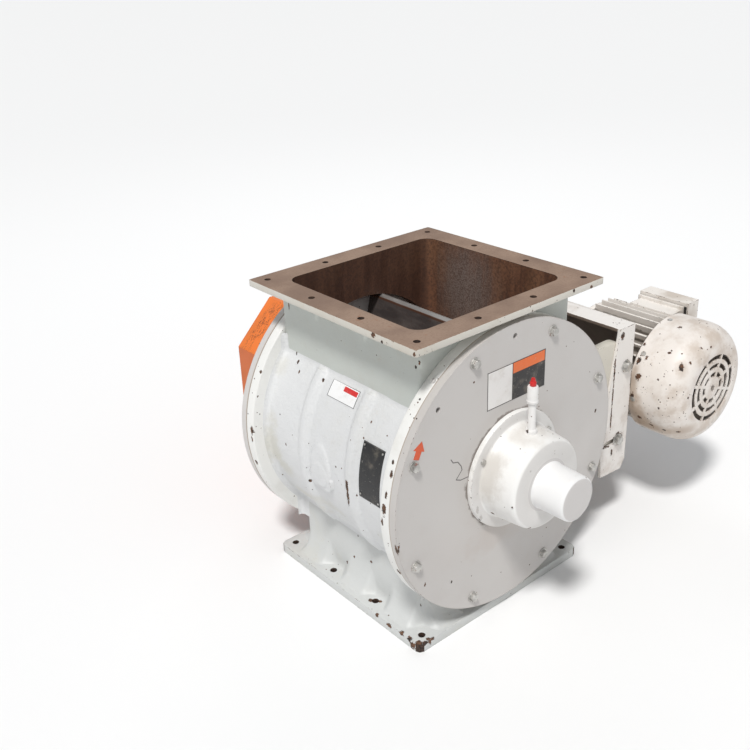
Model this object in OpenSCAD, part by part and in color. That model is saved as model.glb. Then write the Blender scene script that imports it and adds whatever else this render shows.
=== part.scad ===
// Rotary airlock valve with side-mounted gearmotor and chain drive.
// Frame: origin at the centre of the outlet flange's underside, +Z up.
// The rotor turns about Y. The gearmotor stands on the +X side, the chain runs at the +Y end.

/* [Inlet flange] */
// Outer width of the square inlet flange
inlet_w = 457.2; // [450:1:480]
// Width of the square inlet opening
inlet_open = 355.6; // [330:1:362]
// Thickness of the inlet flange
inlet_t = 12.7; // [10:0.5:16]
// Distance between opposite bolt rows of the inlet flange
inlet_pattern = 406.4; // [395:1:425]
// Diameter of the inlet bolt holes
inlet_hole_d = 12; // [8:0.5:16]
// Corner radius of the inlet opening
inlet_corner_r = 25; // [5:1:40]

/* [Outlet flange] */
// Outlet flange width along X
outlet_x = 439; // [425:1:470]
// Outlet flange width along Y
outlet_y = 428; // [420:1:460]
// Thickness of the outlet flange
outlet_t = 18; // [14:0.5:20]
// Width of the square outlet opening
outlet_open = 304.8; // [280:1:312]
// Bolt row distance of the outlet flange along X
outlet_pattern_x = 391; // [385:1:405]
// Bolt row distance of the outlet flange along Y
outlet_pattern_y = 388; // [384:1:400]
// Diameter of the outlet bolt holes
outlet_hole_d = 13.5; // [9:0.5:16]

/* [Housing] */
// Clear height between the end flanges and the inlet flange
inlet_gap = 10.3; // [6:0.1:30]
// Clear height between the end flanges and the outlet flange
outlet_gap = 9; // [4:0.5:20]
// Bore that the rotor runs in
bore_d = 431.8; // [420:0.2:436]
// Wall of the cylindrical body
body_wall = 27; // [22:0.5:28]
// Length of the housing between the end plates
housing_len = 417.6; // [412:0.5:424]
// Diameter of the end flanges and end plates
end_d = 554; // [548:1:566]
// Thickness of the housing's end flanges
ring_t = 22.2; // [18:0.2:26]
// Wall of the inlet neck along X
neck_wall = 7.6; // [6:0.2:22]
// Wall of the outlet neck
foot_wall = 24; // [18:0.5:26]
// Radius of the cast fillet where a neck meets the body
cast_r = 18; // [8:1:24]
// Width of the ribs that run round the body
rib_w = 25; // [15:1:35]
// Height of the ribs above the body
rib_h = 8; // [4:0.5:10]
// Distance of each rib from mid length
rib_y = 68; // [55:1:90]

/* [End plates] */
// Thickness of an end plate
plate_t = 15.9; // [12:0.1:20]
// Distance of the end plate bolts from the plate's edge
bolt_edge = 23.3; // [15:0.1:25]
// Thread diameter of the hex bolts
bolt_d = 9.5; // [8:0.1:10]
// Width across flats of the hex heads
bolt_af = 14.3; // [13:0.1:16]
// Diameter of the jacking holes
jack_d = 10; // [8:0.5:12]

/* [Rotor] */
// Number of vanes
vane_count = 8; // [6:1:8]
// Thickness of a vane
vane_t = 9.5; // [6:0.5:12]
// Radial gap between vane tip and bore
tip_gap = 0.3; // [0.3:0.05:0.6]
// Diameter of the rotor hub
hub_d = 127; // [100:1:150]
// Angle of the first vane above +X
vane_angle = 76; // [70:1:84]
// Shaft diameter inside the rotor hub
shaft_mid_d = 63.5; // [58:0.5:70]
// Shaft diameter at the bearings and the sprocket
shaft_d = 50.8; // [46:0.2:54]

/* [Bearing housings] */
// Diameter of the bearing housing flange
brg_flange_d = 224; // [212:1:236]
// Thickness of the bearing housing flange
brg_flange_t = 9.5; // [8:0.5:12]
// Diameter of the drum at the flange
drum_d = 182; // [174:1:190]
// Diameter of the drum at its outer end
drum_end_d = 168; // [160:1:174]
// Distance that the drum stands out from the end plate
drum_len = 82; // [78:0.5:88]
// Diameter of the shaft end cap
cap_d = 85; // [80:1:96]
// Length of the shaft end cap
cap_len = 66; // [60:1:80]
// Outer diameter of the rotor bearings
bearing_od = 110; // [100:1:116]
// Width of the rotor bearings
bearing_w = 27; // [24:0.5:30]

/* [Drive] */
// Teeth on the rotor sprocket
driven_teeth = 35; // [33:2:35]
// Teeth on the gearmotor sprocket
drive_teeth = 13; // [12:1:14]
// Length of the chain in links
chain_links = 66; // [66:2:68]
// Shaft diameter of the gear unit's output
out_shaft_d = 35; // [30:1:38]
// Module of the reduction gears
gear_module = 2; // [1.8:0.1:2.1]
// Teeth on each pinion of the gear unit
pinion_teeth = 17; // [15:1:18]
// Teeth on each wheel of the gear unit
wheel_teeth = 68; // [62:1:70]

/* [Gearmotor] */
// Diameter of the fan cover
cover_d = 250; // [244:1:256]
// Diameter of the flat grille face of the fan cover
grille_d = 168; // [160:1:176]
// Diameter over the motor's cooling fins
fin_d = 234; // [222:1:236]
// Diameter of the motor frame under the fins
frame_d = 190; // [184:1:196]
// Number of cooling fins
fin_count = 32; // [24:4:36]
// Height of the gear unit's foot pads above the bracket plate
foot_h = 14; // [10:1:18]

/* [Motor bracket] */
// Sheet thickness of the motor bracket
bracket_t = 6.35; // [5:0.05:8]
// Distance of the bracket's back plate from the rotor axis, outer face
bracket_x = 392; // [386:1:396]
// Width of the bracket's top and bottom flanges
bracket_flange = 48; // [40:1:54]
// Height of the bracket's top edge above the rotor axis
bracket_rise = 152; // [146:1:158]
// Depth of the bracket's bottom edge below the rotor axis
bracket_drop = 176; // [172:1:184]

/* [Chain guard] */
// Half width of the guard at the rotor end
guard_half = 181; // [178:1:190]
// Half height of the guard at the rotor end
guard_half_h = 191; // [184:1:196]
// Distance of the guard's outer face from the rear end plate
guard_reach = 145.3; // [144:0.1:152]
// Sheet thickness of the guard
guard_t = 2.5; // [2:0.1:3.5]

/* [Hidden] */
$fn = 96;
eps = 1;                  // extra length of a cutting tool past the face that it cuts
seat_gap = 0.05;          // clearance of a seated fit within one body
run_gap = 0.05;           // radial running clearance between a turning and a fixed piece
face_gap = 0.3;           // gap between faces that turn past each other
holes_per_side = 4;
inlet_hole_depth = inlet_t;
half_len = housing_len / 2;
bore_r = bore_d / 2;
body_r = bore_r + body_wall;
end_r = end_d / 2;
axis_z = outlet_t + outlet_gap + end_r;           // rotor axis above the outlet face
height = axis_z + end_r + inlet_gap + inlet_t;    // flange face to flange face
plate_y = half_len + plate_t;             // outer face of an end plate
plate_bolt_r = end_r - bolt_edge;
plate_bolt_angles = [for (i = [0 : 7]) 22.5 + 45 * i];
plate_bolt_head = 6.5;
jack_angles = [90, 135];
washer_t = 2;
neck_x = inlet_open / 2 + neck_wall;      // outer face of the inlet neck
fillet_bite = 0.05;                       // a fillet's arc crosses the body's circle by this much
neck_lap = 1;                             // its end walls lap into the end flanges by this much
neck_y = half_len - ring_t + neck_lap;
foot_half = outlet_open / 2 + foot_wall;  // outer face of the outlet neck
tip_r = bore_r - tip_gap;
tip_land = 3.5;                           // width of a vane's tip land
tip_relief = 7;                           // depth of the relief behind the land
rotor_half = half_len - face_gap;

brg_face_y = plate_y + brg_flange_t;      // outer face of the bearing housing flange
drum_y = plate_y + drum_len;              // outer end of the drum
bearing_y = plate_y + 42;                 // middle of a rotor bearing
seal_od = 76;
seal_w = 10;
drum_bore_d = 96;                         // grease space beside the bearing
ball_circle_d = (bearing_od + shaft_d) / 2;
ball_d = 17;
ball_count = 9;
bearing_shoulder = 9;                     // ball circle to ring shoulder, on the diameter
brg_screw_d = 6.3;
brg_screw_r = brg_flange_d / 2 - 14;
brg_screw_angles = [30, 150, 270];
brg_screw_head_d = 10;
brg_screw_head = 4;
cap_wall = 8;
shaft_front_y = -(drum_y + cap_len - 18);
pipe_d = 13.7;                            // grease pipe to the front bearing
pipe_y = -bearing_y;
pipe_top = 150;
pipe_bottom = bearing_od / 2 + 8;
pipe_collar_z = drum_d / 2 - 2;
pipe_collar_t = 5;
coupling_bore_d = 8;
coupling_len = 30;
plug_seat_z = pipe_top + coupling_len - 4;    // underside of the grease plug's head
neck_plug_d = 9;                          // slotted plug in the front end flange's rim
neck_plug_angle = 127.5;
neck_plug_y = -(half_len - 6);
neck_plug_depth = 12;
neck_plug_rise = 3;
neck_plug_slot = 1.6;

chain_pitch = 25.4;                       // standard one inch chain
chain_center_sum = chain_links - (driven_teeth + drive_teeth) / 2;
chain_center_term = 8 * pow((driven_teeth - drive_teeth) / 6.28319, 2);
chain_center = chain_pitch / 4 * (chain_center_sum + sqrt(pow(chain_center_sum, 2) - chain_center_term));
driven_r = chain_pitch / 2 / sin(180 / driven_teeth);
drive_r = chain_pitch / 2 / sin(180 / drive_teeth);
roller_d = 15.8;
chain_inner_w = 15.9;                     // space between the inner link plates
link_t = 3.2;
link_h = 22;
pin_d = 7.9;
tooth_w = 14.6;
chain_y = plate_y + 116;                  // plane of the chain
key_w = 12.7;
out_key_w = 10;
hub_back = 24;                            // sprocket hub behind the plane of the chain
sprocket_hub_d = 84;
drive_hub_d = 66;
window_d = 44;                            // openings in the rotor sprocket's web
window_r = 88;
span_angle = asin((driven_r - drive_r) / chain_center);
span_len = chain_center * cos(span_angle);
big_arc = driven_r * (180 + 2 * span_angle) * PI / 180;
small_arc = drive_r * (180 - 2 * span_angle) * PI / 180;
path_len = 2 * span_len + big_arc + small_arc;
motor_x = chain_center;
motor_z = axis_z;

gear_offset = gear_module * (pinion_teeth + wheel_teeth) / 2;
gear_case_y0 = 8;                         // front face of the gear case
gear_case_y1 = 216;                       // rear face of the gear case
gear_case_wall = 8;
gear_case_r = gear_module * wheel_teeth / 2 + gear_module + 2 + gear_case_wall;
snout_y = gear_case_y1 + 54;              // end of the snout round the output shaft
output_bearing_d = 80;
output_bearing_w = 16;
counter_bearing_d = 47;
counter_bearing_w = 14;
motor_bearing_d = 62;
motor_bearing_w = 12;
stage1_y = 48;                            // middle of the first gear pair
stage2_y = 130;                           // middle of the second gear pair
gear_w1 = 22;
gear_w2 = 34;
output_seal_d = 60;
output_bearing_ys = [gear_case_y1 - 46, snout_y - 30];
counter_z = motor_z - gear_offset;
counter_shaft_d = 20;
counter_y0 = gear_case_y0 + 4;
counter_y1 = gear_case_y1 - gear_case_wall - 4;
foot_ys = [36, 138];
foot_zs = [-78, 78];
foot_w = 36;
foot_len = 196;
foot_bolt_d = 10;
foot_bolt_af = 17;
case_cover_t = 10;
motor_y0 = -182;                          // front end of the motor frame
motor_y1 = -10;                           // rear end of the motor frame
cover_y0 = -184;                          // open rim of the fan cover
cover_y1 = -245;                          // start of the cover's shoulder
cover_y2 = -295;                          // flat grille face
cover_t = 3;
motor_shaft_d = 28;
frame_wall = 9;
frame_bore_d = frame_d - 2 * frame_wall - 2 * seat_gap;
fin_t = 3.6;
fin_root = 4;                             // depth of a fin's root in the frame
shield_t = 14;
core_y0 = -145;                           // front end of the stator core
core_y1 = -55;                            // rear end of the stator core
winding_len = 15;                         // overhang of the windings at each end
rotor_core_d = 111;
air_gap = 0.5;
cover_screw_angles = [for (i = [0 : 7]) 8 + 45 * i];
cover_screw_d = 6;
cover_screw_y = cover_y0 - 12;
fan_y = cover_y0 - 24;                    // rear face of the cooling fan
fan_d = 200;
fan_hub_d = 60;
fan_w = 34;
grille_rings = [[62, 72], [44, 53], [25, 34]];
grille_bar = 7;
box_corner_r = frame_d / 2 - 7.6;         // the box's lower outer corner lies in the frame's wall
box_corner_angle = 35.7;
box_x0 = motor_x + box_corner_r * cos(box_corner_angle);    // face that the gasket seats on
box_depth = 45;                           // depth of the box that is cast on the frame
box_lid = 52;
gasket_t = 2;
box_z0 = motor_z + box_corner_r * sin(box_corner_angle);
box_z1 = box_z0 + 73;
box_y0 = -178;
box_y1 = -62;
entry_d = 24;                             // cable entry of the terminal box

lug_y = half_len - ring_t;                // outer face of the bracket lugs
lug_t = 20;
bracket_y = lug_y + bracket_t;            // outer face of the bracket's end flanges
bracket_in = bracket_x - bracket_t;
bracket_top = axis_z + bracket_rise;
bracket_bottom = axis_z - bracket_drop;
pivot_x = bracket_x - 22;
pivot_z = axis_z + 66;
slot_x = bracket_x - 44;
slot_z = axis_z - 98;
slot_len = 66;
slot_end = slot_len / 2 - 8;              // centre of a slot's round end from its middle
clamp_x = slot_x + 12;                    // clamp bolt, part way along the slot
bracket_bolt_d = 12;
bracket_bolt_af = 18;
bracket_bolt_head = 7.5;

guard_y1 = plate_y + guard_reach;         // outer face of the guard
guard_y0 = drum_y + 3.2;                  // face of the guard's back plate towards the valve
guard_end_half = 88;                      // half height of the guard round the small sprocket
guard_chamfer = 86;
guard_end_chamfer = 42;
post_d = 8;                               // thread at the outer end of a guard post
post_root_d = 10;                         // thread in the rear end plate
post_root = 11;
post_shoulder_d = 16;
post_spacer_d = 14;
guard_nut = 6.5;
guard_nut_af = 13;

pad_d = 60;                               // blank cast pad on the body
pad_y = 16;
pad_z = axis_z - 20;
pad_rise = 3;
label_t = 0.4;
body_label_ys = [-43.5, 32];
body_label_zs = [axis_z + 124, axis_z + 151];
end_label_w = 146;
end_label_h = 71;
end_label_x = -66;
end_label_z = axis_z + brg_flange_d / 2 + 23;
arrow_angle = 151.2;                      // place of the arrow on the bolt circle
arrow_turn = -25;
data_plate_t = 0.8;
data_plate_ys = [-147, -92];
data_plate_angles = [158.5, 183.5];
rivet_ys = [-143, -96];
rivet_angles = [160, 182];
rivet_d = 3.5;

white = [0.90, 0.90, 0.88];
grey_white = [0.80, 0.78, 0.76];
motor_paint = [0.86, 0.82, 0.78];
steel = [0.60, 0.60, 0.62];
dark_steel = [0.28, 0.28, 0.30];
orange = [0.93, 0.42, 0.13];

// ---------- shared shapes ----------

// Cylinder along Y from y0 to y1, with its axis at (x, z)
module ycyl(d, y0, y1, x = 0, z = 0, fn = 96) {
    translate([x, min(y0, y1), z])
        rotate([-90, 0, 0])
            cylinder(d = d, h = abs(y1 - y0), $fn = fn);
}

// Tapered cylinder along Y: diameter d0 at y0 and d1 at y1
module ycone(d0, d1, y0, y1, x = 0, z = 0) {
    low = min(y0, y1);
    translate([x, low, z])
        rotate([-90, 0, 0])
            cylinder(d1 = low == y0 ? d0 : d1, d2 = low == y0 ? d1 : d0, h = abs(y1 - y0));
}

// Ring along Y
module yring(od, id, y0, y1, x = 0, z = 0) {
    difference() {
        ycyl(od, y0, y1, x, z);
        ycyl(id, min(y0, y1) - eps, max(y0, y1) + eps, x, z);
    }
}

// Outline in the XZ plane extruded along Y from y0 to y1
module yextrude(y0, y1) {
    translate([0, max(y0, y1), 0])
        rotate([90, 0, 0])
            linear_extrude(abs(y1 - y0))
                children();
}

// Square outline with round corners
module round_rect(w, h, r) {
    square([w - 2 * r, h], center = true);
    square([w, h - 2 * r], center = true);
    for (sx = [-1, 1])
        for (sy = [-1, 1])
            translate([sx * (w / 2 - r), sy * (h / 2 - r)])
                circle(r);
}

// Positions on a square or rectangular bolt row pattern, n holes a side
module on_flange(px, py, n) {
    for (i = [0 : n - 1])
        for (j = [0 : n - 1])
            if (i == 0 || j == 0 || i == n - 1 || j == n - 1)
                translate([px * (i / (n - 1) - 0.5), py * (j / (n - 1) - 0.5), 0])
                    children();
}

// Hex bolt along Y: head outside at y, shank running by len along dir
module ybolt(d, af, head, len, x, y, z, dir) {
    ycyl(af * 1.5, y, y - dir * washer_t, x, z, 48);
    ycyl(af / cos(30), y - dir * washer_t, y - dir * (washer_t + head), x, z, 6);
    ycyl(d, y, y + dir * len, x, z, 48);
}

// Points of a spur gear's outline: straight-sided teeth with backlash
function gear_points(m, n) =
    let (rp = m * n / 2, ra = rp + m * 0.92, rf = rp - m * 1.2, step = 360 / n)
    [for (i = [0 : n - 1])
        for (p = [[rf, -0.34], [rp, -0.215], [ra, -0.10], [ra, 0.10], [rp, 0.215], [rf, 0.34]])
            let (a = (i + p[1]) * step)
            [p[0] * cos(a), p[0] * sin(a)]];

// Points of a roller chain sprocket's outline
function sprocket_points(n, rp) =
    let (step = 360 / n, rr = roller_d / 2 + 0.4)
    [for (i = [0 : n - 1])
        for (p = [[rp - rr, -0.5], [rp - rr * 0.93, -0.42], [rp - rr * 0.35, -0.24],
                  [rp + rr * 0.80, -0.09], [rp + rr * 0.80, 0.09],
                  [rp - rr * 0.35, 0.24], [rp - rr * 0.93, 0.42]])
            let (a = (i + p[1]) * step)
            [p[0] * cos(a), p[0] * sin(a)]];

// Fillet between the vertical wall at x = wall and the body circle, above or below the axis
module cast_fillet(wall, dir) {
    cx = wall + cast_r;
    cz = sqrt(pow(body_r + cast_r, 2) - cx * cx);
    tx = cx * body_r / (body_r + cast_r);
    tz = cz * body_r / (body_r + cast_r);
    inner_z = sqrt(pow(body_r - 4, 2) - pow(wall - 6, 2));
    for (s = [-1, 1])
        translate([0, axis_z])
            difference() {
                polygon([[s * (wall - 6), dir * inner_z], [s * (wall - 6), dir * cz],
                         [s * cx, dir * cz], [s * tx, dir * tz],
                         [s * (tx - 5), dir * (tz - 5)]]);
                translate([s * cx, dir * cz])
                    circle(cast_r + fillet_bite);
            }
}

// ---------- housing and ends ----------

// Cast lug on the +X side that carries the motor bracket
module bracket_lug(side) {
    ear_x = pivot_x + 14;
    web_x = pivot_x - 40;
    yextrude(side * lug_y, side * (lug_y - lug_t))
        translate([0, axis_z])
            polygon([[150, 126], [ear_x - 38, 126], [ear_x, 94], [ear_x, 48], [web_x, -4],
                     [web_x, -54], [ear_x, -78], [ear_x, -128], [web_x - 30, -134], [190, -114]]);
}

module housing() {
    color(white)
    difference() {
        union() {
            ycyl(body_r * 2, -half_len, half_len, 0, axis_z, 160);
            for (s = [-1, 1])
                ycyl(end_d, s * half_len, s * (half_len - ring_t), 0, axis_z, 160);
            for (s = [-1, 1])
                translate([0, s * rib_y, axis_z])
                    rotate([-90, 0, 0])
                        rotate_extrude($fn = 160)
                            polygon([[bore_r + 4, -rib_w / 2], [body_r, -rib_w / 2],
                                     [body_r + rib_h, -rib_w / 2 + rib_h],
                                     [body_r + rib_h, rib_w / 2 - rib_h],
                                     [body_r, rib_w / 2], [bore_r + 4, rib_w / 2]]);
            translate([-neck_x, -neck_y, axis_z])
                cube([2 * neck_x, 2 * neck_y, height - inlet_t - axis_z]);
            yextrude(-half_len, half_len)
                cast_fillet(neck_x, 1);
            translate([0, 0, height - inlet_t])
                linear_extrude(inlet_t)
                    round_rect(inlet_w, inlet_w, 3);
            translate([-foot_half, -foot_half, outlet_t])
                cube([2 * foot_half, 2 * foot_half, axis_z - outlet_t]);
            yextrude(-foot_half, foot_half)
                cast_fillet(foot_half, -1);
            linear_extrude(outlet_t)
                round_rect(outlet_x, outlet_y, 12);
            for (s = [-1, 1])
                bracket_lug(s);
            translate([-(body_r + pad_rise), pad_y, pad_z])
                rotate([0, 90, 0])
                    cylinder(d = pad_d, h = body_wall);
        }
        ycyl(bore_d, -half_len - eps, half_len + eps, 0, axis_z, 180);
        translate([0, 0, axis_z])
            linear_extrude(height - axis_z + eps)
                round_rect(inlet_open, inlet_open, inlet_corner_r);
        translate([0, 0, -eps])
            linear_extrude(axis_z + eps)
                round_rect(outlet_open, outlet_open, inlet_corner_r);
        translate([0, 0, height - inlet_hole_depth])
            on_flange(inlet_pattern, inlet_pattern, holes_per_side)
                cylinder(d = inlet_hole_d, h = inlet_hole_depth + eps, $fn = 48);
        translate([0, 0, -eps])
            on_flange(outlet_pattern_x, outlet_pattern_y, holes_per_side)
                cylinder(d = outlet_hole_d, h = outlet_t + 2 * eps, $fn = 48);
        for (s = [-1, 1])
            for (a = plate_bolt_angles)
                ycyl(bolt_d + 2 * seat_gap, s * (half_len + eps), s * (half_len - ring_t - eps),
                     plate_bolt_r * cos(a), axis_z + plate_bolt_r * sin(a), 48);
        for (s = [-1, 1]) {
            ycyl(bracket_bolt_d + 2 * seat_gap, s * (lug_y + eps), s * (lug_y - lug_t - eps),
                 pivot_x, pivot_z, 48);
            ycyl(bracket_bolt_d + 2 * seat_gap, s * (lug_y + eps), s * (lug_y - lug_t - eps),
                 clamp_x, slot_z, 48);
        }
        on_rim(neck_plug_y, neck_plug_angle)
            translate([0, 0, end_r - neck_plug_depth])
                cylinder(d = neck_plug_d + 2 * seat_gap, h = neck_plug_depth + 1, $fn = 48);
    }
}

// End plate of one end, s = -1 for the front
module end_plate(s) {
    difference() {
        ycyl(end_d, s * half_len, s * plate_y, 0, axis_z, 160);
        ycyl(shaft_mid_d + 3, s * (half_len - eps), s * (plate_y + eps), 0, axis_z);
        ycyl(seal_od, s * (plate_y - seal_w), s * (plate_y + eps), 0, axis_z);
        for (a = plate_bolt_angles)
            ycyl(bolt_d + 1, s * (half_len - eps), s * (plate_y + eps),
                 plate_bolt_r * cos(a), axis_z + plate_bolt_r * sin(a), 48);
        for (a = jack_angles)
            ycyl(jack_d, s * (half_len - eps), s * (plate_y + eps),
                 plate_bolt_r * cos(a), axis_z + plate_bolt_r * sin(a), 48);
        for (a = brg_screw_angles)
            ycyl(brg_screw_d + 2 * seat_gap, s * (plate_y - 12), s * (plate_y + eps),
                 brg_screw_r * cos(a), axis_z + brg_screw_r * sin(a), 48);
        if (s > 0)
            for (p = guard_posts())
                ycyl(post_root_d + 2 * seat_gap, plate_y - post_root - 1, plate_y + eps, p[0], p[1], 48);
    }
}

module front_end_plate() {
    color(grey_white) end_plate(-1);
}

module rear_end_plate() {
    color(grey_white) end_plate(1);
}

// Eight hex bolts with washers, s = -1 for the front
module plate_bolts(s) {
    for (a = plate_bolt_angles)
        ybolt(bolt_d, bolt_af, plate_bolt_head, plate_t + ring_t, plate_bolt_r * cos(a), s * plate_y,
              axis_z + plate_bolt_r * sin(a), -s);
}

module front_plate_bolts() {
    color(steel) plate_bolts(-1);
}

module rear_plate_bolts() {
    color(steel) plate_bolts(1);
}

// Turns +Z outwards at an angle about the rotor axis
module on_rim(y, angle) {
    translate([0, y, axis_z])
        rotate([0, 90 - angle, 0])
            children();
}

// Slotted plug beside the neck
module neck_plug() {
    color(white)
    on_rim(neck_plug_y, neck_plug_angle)
        translate([0, 0, end_r - neck_plug_depth])
            difference() {
                cylinder(d = neck_plug_d, h = neck_plug_depth + neck_plug_rise, $fn = 48);
                translate([-neck_plug_d, -neck_plug_slot / 2, neck_plug_depth + neck_plug_rise / 2])
                    cube([2 * neck_plug_d, neck_plug_slot, neck_plug_rise]);
            }
}

// ---------- bearings ----------

// Cast bearing housing: flange and tapered drum, s = -1 for the front
module bearing_housing(s) {
    difference() {
        union() {
            ycyl(brg_flange_d, s * plate_y, s * brg_face_y, 0, axis_z);
            ycone(drum_d, drum_end_d, s * brg_face_y, s * drum_y, 0, axis_z);
        }
        ycyl(drum_bore_d, s * (plate_y - eps), s * (drum_y + eps), 0, axis_z);
        ycyl(bearing_od + 2 * seat_gap, s * (bearing_y - bearing_w / 2), s * (drum_y + eps), 0, axis_z);
        for (a = brg_screw_angles)
            ycyl(brg_screw_d + 0.8, s * (plate_y - eps), s * (brg_face_y + eps),
                 brg_screw_r * cos(a), axis_z + brg_screw_r * sin(a), 48);
        if (s < 0)
            translate([0, pipe_y, axis_z + bearing_od / 2 - 6])
                cylinder(d = pipe_d + 2 * seat_gap, h = drum_d, $fn = 48);
    }
}

module front_bearing_housing() {
    color(white) bearing_housing(-1);
}

module rear_bearing_housing() {
    color(white) bearing_housing(1);
}

// Closed cap over the front shaft end, with a spigot that holds the bearing
module front_end_cap() {
    color(white)
    difference() {
        union() {
            ycyl(bearing_od, -(bearing_y + bearing_w / 2), -drum_y, 0, axis_z);
            ycyl(cap_d, -drum_y, -(drum_y + cap_len), 0, axis_z);
        }
        ycyl(drum_bore_d - 2, -(bearing_y + bearing_w / 2 - eps), -(drum_y - 6), 0, axis_z);
        ycyl(cap_d - 2 * cap_wall, -(drum_y - 7), -(drum_y + cap_len - cap_wall), 0, axis_z);
    }
}

// Open cover at the drive end, with a seal face round the shaft
module rear_bearing_cover() {
    color(steel)
    difference() {
        union() {
            ycyl(bearing_od, bearing_y + bearing_w / 2, drum_y, 0, axis_z);
            ycyl(drum_end_d - 20, drum_y, drum_y + 3.2, 0, axis_z);
        }
        ycyl(drum_bore_d - 2, bearing_y + bearing_w / 2 - eps, drum_y - 6, 0, axis_z);
        ycyl(shaft_d + 2, drum_y - 7, drum_y + 4.2, 0, axis_z);
    }
}

module bearing_housing_screws() {
    color(steel)
    for (s = [-1, 1])
        for (a = brg_screw_angles) {
            ycyl(brg_screw_d, s * (plate_y - 11), s * brg_face_y,
                 brg_screw_r * cos(a), axis_z + brg_screw_r * sin(a), 48);
            ycyl(brg_screw_head_d, s * brg_face_y, s * (brg_face_y + brg_screw_head),
                 brg_screw_r * cos(a), axis_z + brg_screw_r * sin(a), 48);
        }
}

// Groove that the balls run in, cut with a clearance
module ball_groove(y, extra) {
    translate([0, y, axis_z])
        rotate([-90, 0, 0])
            rotate_extrude()
                translate([ball_circle_d / 2, 0])
                    circle(d = ball_d + 2 * extra, $fn = 48);
}

module bearing_outer_rings() {
    color(steel)
    for (s = [-1, 1])
        difference() {
            yring(bearing_od, ball_circle_d + bearing_shoulder, s * (bearing_y - bearing_w / 2),
                  s * (bearing_y + bearing_w / 2), 0, axis_z);
            ball_groove(s * bearing_y, 0.3);
        }
}

module bearing_inner_rings() {
    color(steel)
    for (s = [-1, 1])
        difference() {
            yring(ball_circle_d - bearing_shoulder, shaft_d + 2 * seat_gap, s * (bearing_y - bearing_w / 2),
                  s * (bearing_y + bearing_w / 2), 0, axis_z);
            ball_groove(s * bearing_y, seat_gap);
        }
}

module bearing_balls() {
    color([0.75, 0.75, 0.78])
    for (s = [-1, 1])
        for (i = [0 : ball_count - 1])
            let (a = i * 360 / ball_count)
            translate([ball_circle_d / 2 * cos(a), s * bearing_y, axis_z + ball_circle_d / 2 * sin(a)])
                sphere(d = ball_d, $fn = 32);
}

// Lip seals pressed into the end plates; their lips clear the shaft by a running gap
module shaft_seals() {
    color([0.15, 0.13, 0.12])
    for (s = [-1, 1])
        yring(seal_od - 2 * seat_gap, shaft_d + 2 * run_gap, s * (plate_y - seal_w + seat_gap),
              s * (plate_y - seat_gap), 0, axis_z);
}

// Short pipe that leads grease to the front bearing, with a collar on the drum
module grease_pipe() {
    color(white)
    difference() {
        union() {
            translate([0, pipe_y, axis_z + pipe_bottom])
                cylinder(d = pipe_d, h = pipe_top - pipe_bottom, $fn = 48);
            translate([0, pipe_y, axis_z + pipe_collar_z])
                cylinder(d = pipe_d + 7, h = pipe_collar_t, $fn = 48);
        }
        translate([0, pipe_y, axis_z + pipe_bottom - eps])
            cylinder(d = pipe_d - 5, h = pipe_top, $fn = 48);
    }
}

module grease_coupling() {
    color(white)
    difference() {
        union() {
            translate([0, pipe_y, axis_z + pipe_top - 4])
                cylinder(d = pipe_d + 5, h = coupling_len, $fn = 48);
            translate([0, pipe_y, axis_z + pipe_top - 6])
                cylinder(d = pipe_d + 7, h = 6, $fn = 48);
        }
        translate([0, pipe_y, axis_z + pipe_top - 7])
            cylinder(d = pipe_d + 2 * seat_gap, h = 7 + seat_gap, $fn = 48);
        translate([0, pipe_y, axis_z + pipe_top - 1])
            cylinder(d = coupling_bore_d, h = coupling_len, $fn = 48);
    }
}

// Red plug in the mouth of the coupling
module grease_plug() {
    color([0.85, 0.10, 0.12]) {
        translate([0, pipe_y, axis_z + plug_seat_z - 12])
            cylinder(d = coupling_bore_d - 2 * seat_gap, h = 12, $fn = 48);
        translate([0, pipe_y, axis_z + plug_seat_z])
            cylinder(d = 11, h = 8, $fn = 48);
        translate([0, pipe_y, axis_z + plug_seat_z + 8])
            cylinder(d1 = 9, d2 = 5, h = 7, $fn = 48);
    }
}

// ---------- rotor ----------

module rotor_hub() {
    color([0.34, 0.34, 0.36])
    yring(hub_d, shaft_mid_d + 2 * seat_gap, -rotor_half, rotor_half, 0, axis_z);
}

// Vanes welded to the hub; each tip is relieved behind its land
module rotor_vanes() {
    color([0.34, 0.34, 0.36])
    for (i = [0 : vane_count - 1])
        yextrude(-rotor_half, rotor_half)
            translate([0, axis_z])
                difference() {
                    intersection() {
                        rotate(vane_angle + i * 360 / vane_count)
                            polygon([[hub_d / 2 - 8, -vane_t / 2], [tip_r + 2, -vane_t / 2],
                                     [tip_r + 2, -vane_t / 2 + tip_land], [tip_r - tip_relief, vane_t / 2],
                                     [hub_d / 2 - 8, vane_t / 2]]);
                        circle(tip_r, $fn = 180);
                    }
                    circle(hub_d / 2);
                }
}

module rotor_shaft() {
    color(steel)
    difference() {
        union() {
            ycyl(shaft_mid_d, -(half_len + 4), half_len + 4, 0, axis_z);
            ycyl(shaft_d, shaft_front_y, guard_y1 - guard_t - 6, 0, axis_z);
        }
        translate([-key_w / 2, chain_y - 25, axis_z + shaft_d / 2 - key_w / 2])
            cube([key_w, 60, key_w]);
    }
}

module rotor_key() {
    color(steel)
    translate([-key_w / 2 + seat_gap, chain_y - 22, axis_z + shaft_d / 2 - key_w / 2 + seat_gap])
        cube([key_w - 2 * seat_gap, 34, key_w - 2 * seat_gap]);
}

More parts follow.
